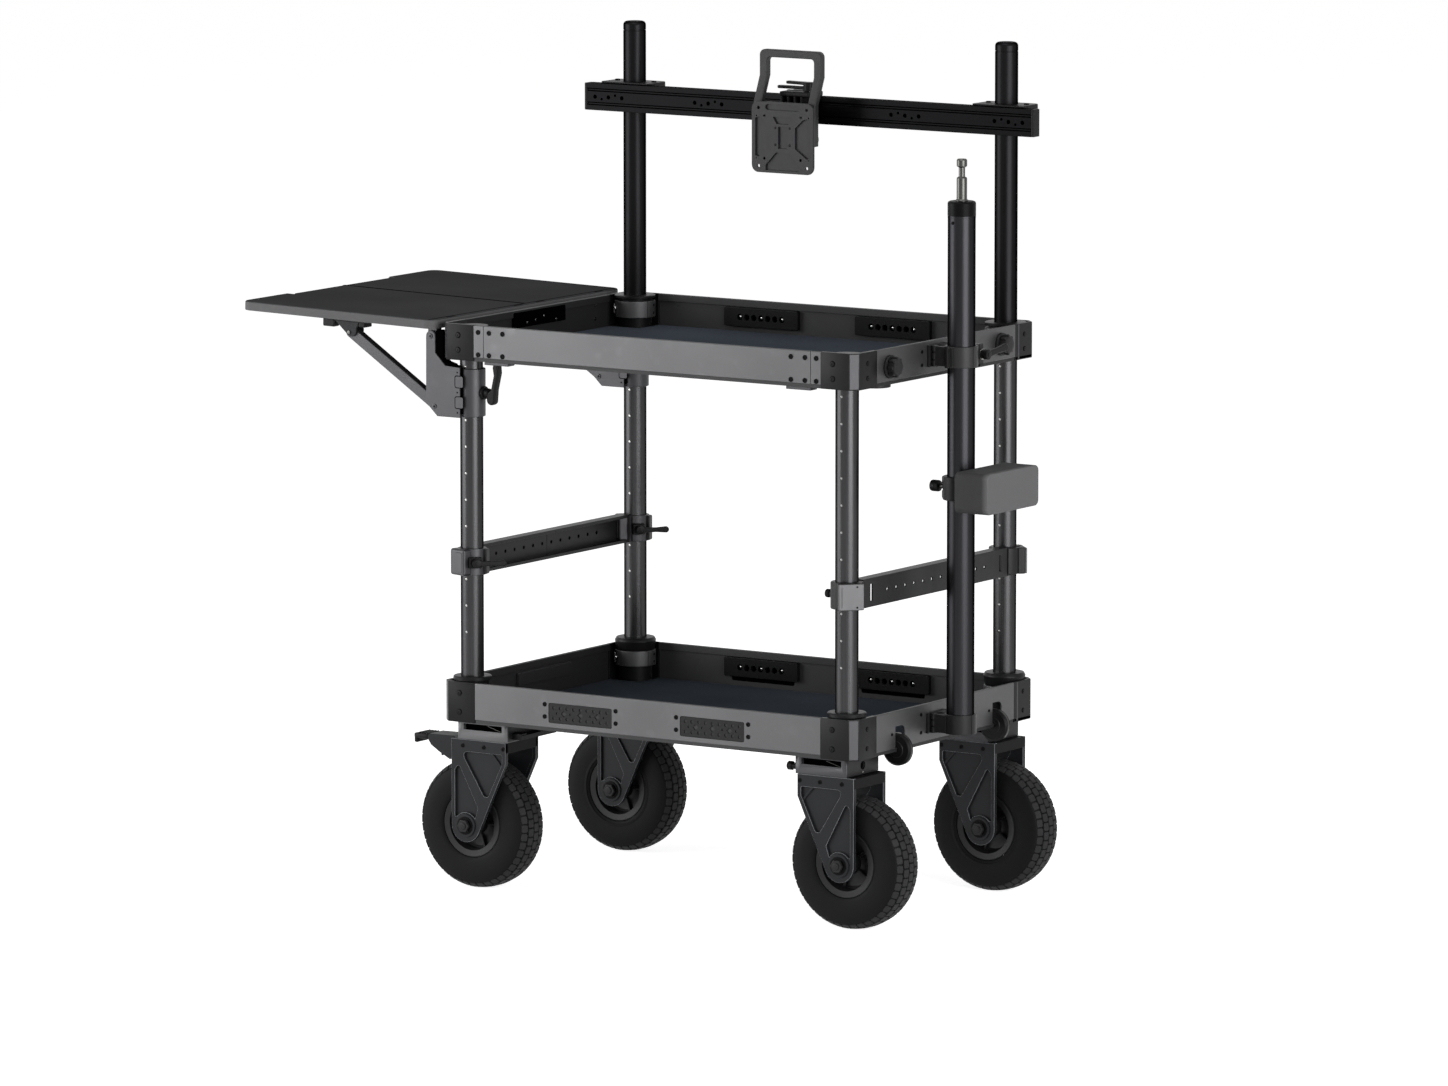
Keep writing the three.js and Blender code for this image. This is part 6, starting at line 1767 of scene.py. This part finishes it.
def mount_details(end, side, sx, sy):
    """What is fixed to a caster's mount: dark sheets of painted shade in its slots, side plates, a rod, a
    dark plug of painted shade, a screw and a blade.
    """
    name = f"caster_mount_{end}_{side}"
    finish = "mount_block" if sx < 0 else "bracket"
    dress(name, finish, 1.0, 2)
    x, y = sx * SWIVEL_X, sy * -AXLE["y"]
    outer = x + sx * MOUNT_SIDE
    shade_sheets = [block("lining", (x - 40, x + 40), (y + k * 37 - 1, y + k * 37 + 1), (246.5, 262))
               for k in (-1, 1)]
    # The dark sheets in the slots are painted shade
    finished(joined(f"{name}_linings", *shade_sheets), "void", "frame")
    lips = [block("lip", (x - 39.5, x + 39.5), sorted((y + k * 42.5, y + k * 45.2)), (246.2, 251.2), 0.4)
            for k in (-1, 1)]
    finished(joined(f"{name}_lips", *lips), finish, "frame")
    cross_rod = rod(f"{name}_rod", "x", (y + sy * 40, 254.5), 0.9, x + 6, x + 34, 0.3, 12)
    cross_rod.data.transform(turn_at(x + 20, y, 254.5, 16, "Y"))
    finished(cross_rod, "steel", "frame")
    plates = [block("side_plate", sorted((x + k * MOUNT_SIDE - k * 0.3, x + k * MOUNT_SIDE + k * 0.35)),
                    (y - 42.5, y + 42.5), (237.5, 261.5), 0.2) for k in (-1, 1)]
    eye = rod("eye", "x", (y, MOUNT_EYE_Z), 6.6, *sorted((outer - sx * 3, outer + sx * 3)), 0, 28)
    carve(plates[0 if sx < 0 else 1], eye)
    if sx < 0:
        inner = x + MOUNT_SIDE
        ys = sorted((y + sy * 32.4, y - sy * 64.4))
        blade = block("blade", (inner + 0.2, inner + 17.4), ys, (240.3, 247.1), 0.3)
        tip = block("blade_tip", (inner + 2, inner + 16), (ys[0] - 0.2, ys[0] + 18), (243, 250.5), 1.6, 3)
        finished(joined(f"{name}_swivel_blade", blade, tip), "plastic", "frame")
    finished(joined(f"{name}_side_plates", *plates), "fitting", "frame")
    plug = rod(f"{name}_plug", "x", (y, MOUNT_EYE_Z), 6.5, *sorted((outer - sx * 8, outer - sx * 3)), 0.8, 28)
    # The dark plug in the eye is painted shade
    finished(plug, "void", "frame")
    screws(f"{name}_screw", [(outer + sx * 0.3, y, 239.5)], (sx, 0, 0), "frame", 1.9, 0.9, "bright")


def swivel_lock(end):
    """The pull knob of a right caster's swivel lock."""
    node = f"swivel_lock_{end}"
    low, high = local_box(node)
    y, z = (low.y + high.y) / 2, (low.z + high.z) / 2
    profile = [(0, 0), (5.4, 0), (6.8, 1.4), (6.8, 8), (5.0, 9.6), (5.0, 14), (5.8, 15), (5.8, 19.8),
               (0, 19.8)]
    knob = turned("knob", profile, "x", (low.x, y, z), 32)
    stem = rod("stem", "x", (y, z), 3.1, low.x + 19, high.x, 0.3, 20)
    finished(joined(f"{node}_knob", knob, stem), "plastic", node, (node,))


def casters():
    """All four casters from one set of parts."""
    fork, bolt, washers = caster_fork()
    rim = wheel_rim()
    sides, tread = tyre()
    for end, sy in ENDS.items():
        for side, sx in SIDES.items():
            corner_name = f"{end}_{side}"
            matrix = mirror_matrix(sx, -sy)
            body, wheel = f"caster_{corner_name}", f"wheel_{corner_name}"
            for piece, name, finish, carrier, replaces in (
                (fork, f"fork_{corner_name}", "fork", body, (f"caster_fork_{corner_name}",)),
                (bolt, f"axle_bolt_{corner_name}", "fitting", body, ()),
                (washers, f"axle_washers_{corner_name}", "screw", body, ()),
                (rim, f"rim_{corner_name}", "rim", wheel, (f"wheel_rim_{corner_name}",)),
                (sides, f"tyre_{corner_name}_sides", "rubber", wheel, (f"tyre_{corner_name}",)),
                (tread, f"tyre_{corner_name}_tread", "tread", wheel, ()),
            ):
                finished(copied(piece, name, matrix), finish, carrier, replaces)
            mount_details(end, side, sx, sy)
        pedal_hinge(end, sy)
        brake_pedal(end)
        swivel_lock(end)
    for piece in (fork, bolt, washers, rim, sides, tread):
        bpy.data.objects.remove(piece)


# Stage

CAMERA = {
    "azimuth": 32.92, "elevation": 7.87, "distance": 15.637, "target_height": 0.5431, "lens": 253.1,
    "shift_x": -0.01008, "shift_y": -0.00256,
}


# Each lamp's azimuth, elevation, distance, radiance, and width and height
LAMPS = {
    "right_softbox": (68, 6, 4.6, 8.5, (3.0, 2.8)),
    "left_softbox": (-52, 6, 4.6, 6.5, (3.2, 2.8)),
    "top_softbox": (20, 75, 4.2, 2.8, (2.4, 2.4)),
}
LAMP_TARGET = Vector((0, 0, 0.62))

FLOOR = {"size": 60, "grey": 0.86, "glow": 0.82}
WORLD_LIGHT = 0.2
WHITE = (1, 1, 1, 1)
BLACK = (0, 0, 0, 1)


def outward(azimuth, elevation):
    """The direction away from the cart, in degrees; the azimuth counts from the front to the right."""
    turn, rise = math.radians(azimuth), math.radians(elevation)
    return Vector((math.sin(turn) * math.cos(rise), -math.cos(turn) * math.cos(rise), math.sin(rise)))


def camera():
    """The camera at the photograph's viewing angle."""
    back = outward(CAMERA["azimuth"], CAMERA["elevation"])
    target = ORIGIN + Vector((0, 0, CAMERA["target_height"]))
    bpy.ops.object.camera_add(location=target + back * CAMERA["distance"])
    view = bpy.context.active_object
    view.rotation_euler = back.to_track_quat("Z", "Y").to_euler()
    view.data.sensor_width = 36
    view.data.lens = CAMERA["lens"]
    view.data.shift_x, view.data.shift_y = CAMERA["shift_x"], CAMERA["shift_y"]
    view.data.clip_end = 100
    bpy.context.scene.camera = view


def area_light(name, azimuth, elevation, distance, radiance, size):
    """A soft lamp that faces the cart's middle; its radiance is in watts per square metre and steradian."""
    away = outward(azimuth, elevation)
    deselect()
    bpy.ops.object.light_add(type="AREA", location=ORIGIN + LAMP_TARGET + away * distance)
    light = bpy.context.active_object
    light.name = name
    light.data.energy = radiance * math.pi * size[0] * size[1]
    light.data.shape = "RECTANGLE"
    light.data.size, light.data.size_y = size
    light.rotation_euler = away.to_track_quat("Z", "Y").to_euler()


def seen_directly(finish):
    """One for rays of the camera and for mirrored and refracted ones, which see the pale background."""
    camera_ray, glossy, through = [finish.node("ShaderNodeLightPath", output=name)
                                   for name in ("Is Camera Ray", "Is Glossy Ray", "Is Transmission Ray")]
    settings = {"operation": "ADD", "use_clamp": True}
    return finish.node("ShaderNodeMath", settings, {0: camera_ray + glossy, 1: through})


def stage():
    """The pale floor, the soft lamps and the world."""
    deselect()
    bpy.ops.mesh.primitive_plane_add(size=FLOOR["size"], location=(0, 0, 0))
    floor = bpy.context.active_object
    floor.name = "studio_floor"
    f = Finish("studio_floor")
    grey = FLOOR["grey"]
    f.shade(Base_Color=(grey, grey, grey, 1), Roughness=0.9, Specular_IOR_Level=0.0)
    glow = f.node("ShaderNodeEmission", values={"Color": WHITE, "Strength": FLOOR["glow"]})
    none = f.node("ShaderNodeEmission", values={"Color": BLACK, "Strength": 0})
    lift = f.node("ShaderNodeMixShader", values={0: seen_directly(f), 1: none, 2: glow})
    both = f.node("ShaderNodeAddShader", values={0: Value(f, f.shader.outputs[0]), 1: lift})
    f.feed(f.tree.nodes["Material Output"].inputs["Surface"], both)
    floor.data.materials.append(f.material)

    world = bpy.data.worlds.new("studio")
    bpy.context.scene.world = world
    sky = Finish("studio", world)
    dim = sky.node("ShaderNodeBackground", values={"Color": WHITE, "Strength": WORLD_LIGHT})
    white = sky.node("ShaderNodeBackground", values={"Color": WHITE, "Strength": 1.0})
    both = sky.node("ShaderNodeMixShader", values={0: seen_directly(sky), 1: dim, 2: white})
    sky.feed(sky.tree.nodes["World Output"].inputs["Surface"], both)

    for name, values in LAMPS.items():
        area_light(name, *values)
    bpy.context.scene.view_settings.view_transform = "Standard"


class CartOperator:
    """What the cart's operators share."""

    bl_options = {"REGISTER", "UNDO"}


class CART_OT_finishes(CartOperator, bpy.types.Operator):
    """Make the cart's paints, metals, rubber and plastics"""

    bl_idname = "cart.finishes"
    bl_label = "Finishes"

    def execute(self, context):
        make_finishes(context.scene.cart_colours)
        return {"FINISHED"}


class CART_OT_trays(CartOperator, bpy.types.Operator):
    """Make both trays with their rails, mats and fittings"""

    bl_idname = "cart.trays"
    bl_label = "Trays"

    def execute(self, context):
        tray("lower", LOWER)
        tray("upper", UPPER)
        return {"FINISHED"}


class CART_OT_corners(CartOperator, bpy.types.Operator):
    """Make the corner castings with their screws and collars"""

    bl_idname = "cart.corners"
    bl_label = "Corners"

    def execute(self, context):
        corners()
        return {"FINISHED"}


class CART_OT_posts(CartOperator, bpy.types.Operator):
    """Make the grey posts between the trays"""

    bl_idname = "cart.posts"
    bl_label = "Posts"

    def execute(self, context):
        posts()
        return {"FINISHED"}


class CART_OT_uprights(CartOperator, bpy.types.Operator):
    """Make the black tubes above the back corners"""

    bl_idname = "cart.uprights"
    bl_label = "Uprights"

    def execute(self, context):
        uprights()
        return {"FINISHED"}


class CART_OT_monitor_bar(CartOperator, bpy.types.Operator):
    """Make the bar between the uprights with its jaws and caps"""

    bl_idname = "cart.monitor_bar"
    bl_label = "Monitor bar"

    def execute(self, context):
        monitor_bar()
        return {"FINISHED"}


class CART_OT_monitor_mount(CartOperator, bpy.types.Operator):
    """Make the carriage on the bar with the handle and the mounting plate"""

    bl_idname = "cart.monitor_mount"
    bl_label = "Monitor mount"

    def execute(self, context):
        monitor_plate()
        monitor_yoke()
        monitor_carriage()
        return {"FINISHED"}


class CART_OT_mast(CartOperator, bpy.types.Operator):
    """Make the mast with its pin, ring clamp and cup"""

    bl_idname = "cart.mast"
    bl_label = "Mast"

    def execute(self, context):
        mast()
        mast_supports()
        return {"FINISHED"}


class CART_OT_side_box(CartOperator, bpy.types.Operator):
    """Make the box on the mast with its jaws and knob"""

    bl_idname = "cart.side_box"
    bl_label = "Side box"

    def execute(self, context):
        side_box()
        return {"FINISHED"}


class CART_OT_side_bars(CartOperator, bpy.types.Operator):
    """Make the side bars with their post clamps and levers"""

    bl_idname = "cart.side_bars"
    bl_label = "Side bars"

    def execute(self, context):
        for side, sx in SIDES.items():
            side_bar(side, sx)
        return {"FINISHED"}


class CART_OT_side_shelf(CartOperator, bpy.types.Operator):
    """Make the folding shelf panel"""

    bl_idname = "cart.side_shelf"
    bl_label = "Side shelf"

    def execute(self, context):
        side_shelf()
        return {"FINISHED"}


class CART_OT_shelf_brackets(CartOperator, bpy.types.Operator):
    """Make the shelf's brackets, struts and clamp handles"""

    bl_idname = "cart.shelf_brackets"
    bl_label = "Shelf brackets"

    def execute(self, context):
        for end, sy in ENDS.items():
            shelf_bracket(end, sy)
        return {"FINISHED"}


class CART_OT_casters(CartOperator, bpy.types.Operator):
    """Make the four casters with their mounts, pedals and locks"""

    bl_idname = "cart.casters"
    bl_label = "Casters"

    def execute(self, context):
        casters()
        return {"FINISHED"}


class CART_OT_camera(CartOperator, bpy.types.Operator):
    """Place the camera"""

    bl_idname = "cart.camera"
    bl_label = "Camera"

    def execute(self, context):
        camera()
        return {"FINISHED"}


class CART_OT_stage(CartOperator, bpy.types.Operator):
    """Make the floor, the lamps and the world"""

    bl_idname = "cart.stage"
    bl_label = "Stage"

    def execute(self, context):
        stage()
        return {"FINISHED"}


STEPS = [
    CART_OT_finishes, CART_OT_trays, CART_OT_corners, CART_OT_posts, CART_OT_uprights, CART_OT_monitor_bar,
    CART_OT_monitor_mount, CART_OT_mast, CART_OT_side_box, CART_OT_side_bars, CART_OT_side_shelf,
    CART_OT_shelf_brackets, CART_OT_casters, CART_OT_camera, CART_OT_stage,
]


class CART_PT_sidebar(bpy.types.Panel):
    """The cart's sizes, colours and steps in the 3D view's sidebar"""

    bl_label = "Camera cart"
    bl_space_type = "VIEW_3D"
    bl_region_type = "UI"
    bl_category = "Cart"

    def draw(self, context):
        for settings in (context.scene.cart_sizes, context.scene.cart_colours):
            for key in settings.__annotations__:
                self.layout.prop(settings, key)
        for step in STEPS:
            self.layout.operator(step.bl_idname)


CLASSES = [CartSizes, CartColours, CART_PT_sidebar, *STEPS]


def register():
    for each in CLASSES:
        bpy.utils.register_class(each)
    bpy.types.Scene.cart_sizes = bpy.props.PointerProperty(type=CartSizes)
    bpy.types.Scene.cart_colours = bpy.props.PointerProperty(type=CartColours)


def unregister():
    del bpy.types.Scene.cart_colours
    del bpy.types.Scene.cart_sizes
    for each in reversed(CLASSES):
        bpy.utils.unregister_class(each)


def main():
    """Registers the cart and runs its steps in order."""
    register()
    for step in STEPS:
        group, name = step.bl_idname.split(".")
        getattr(getattr(bpy.ops, group), name)()


if __name__ == "__main__":
    main()
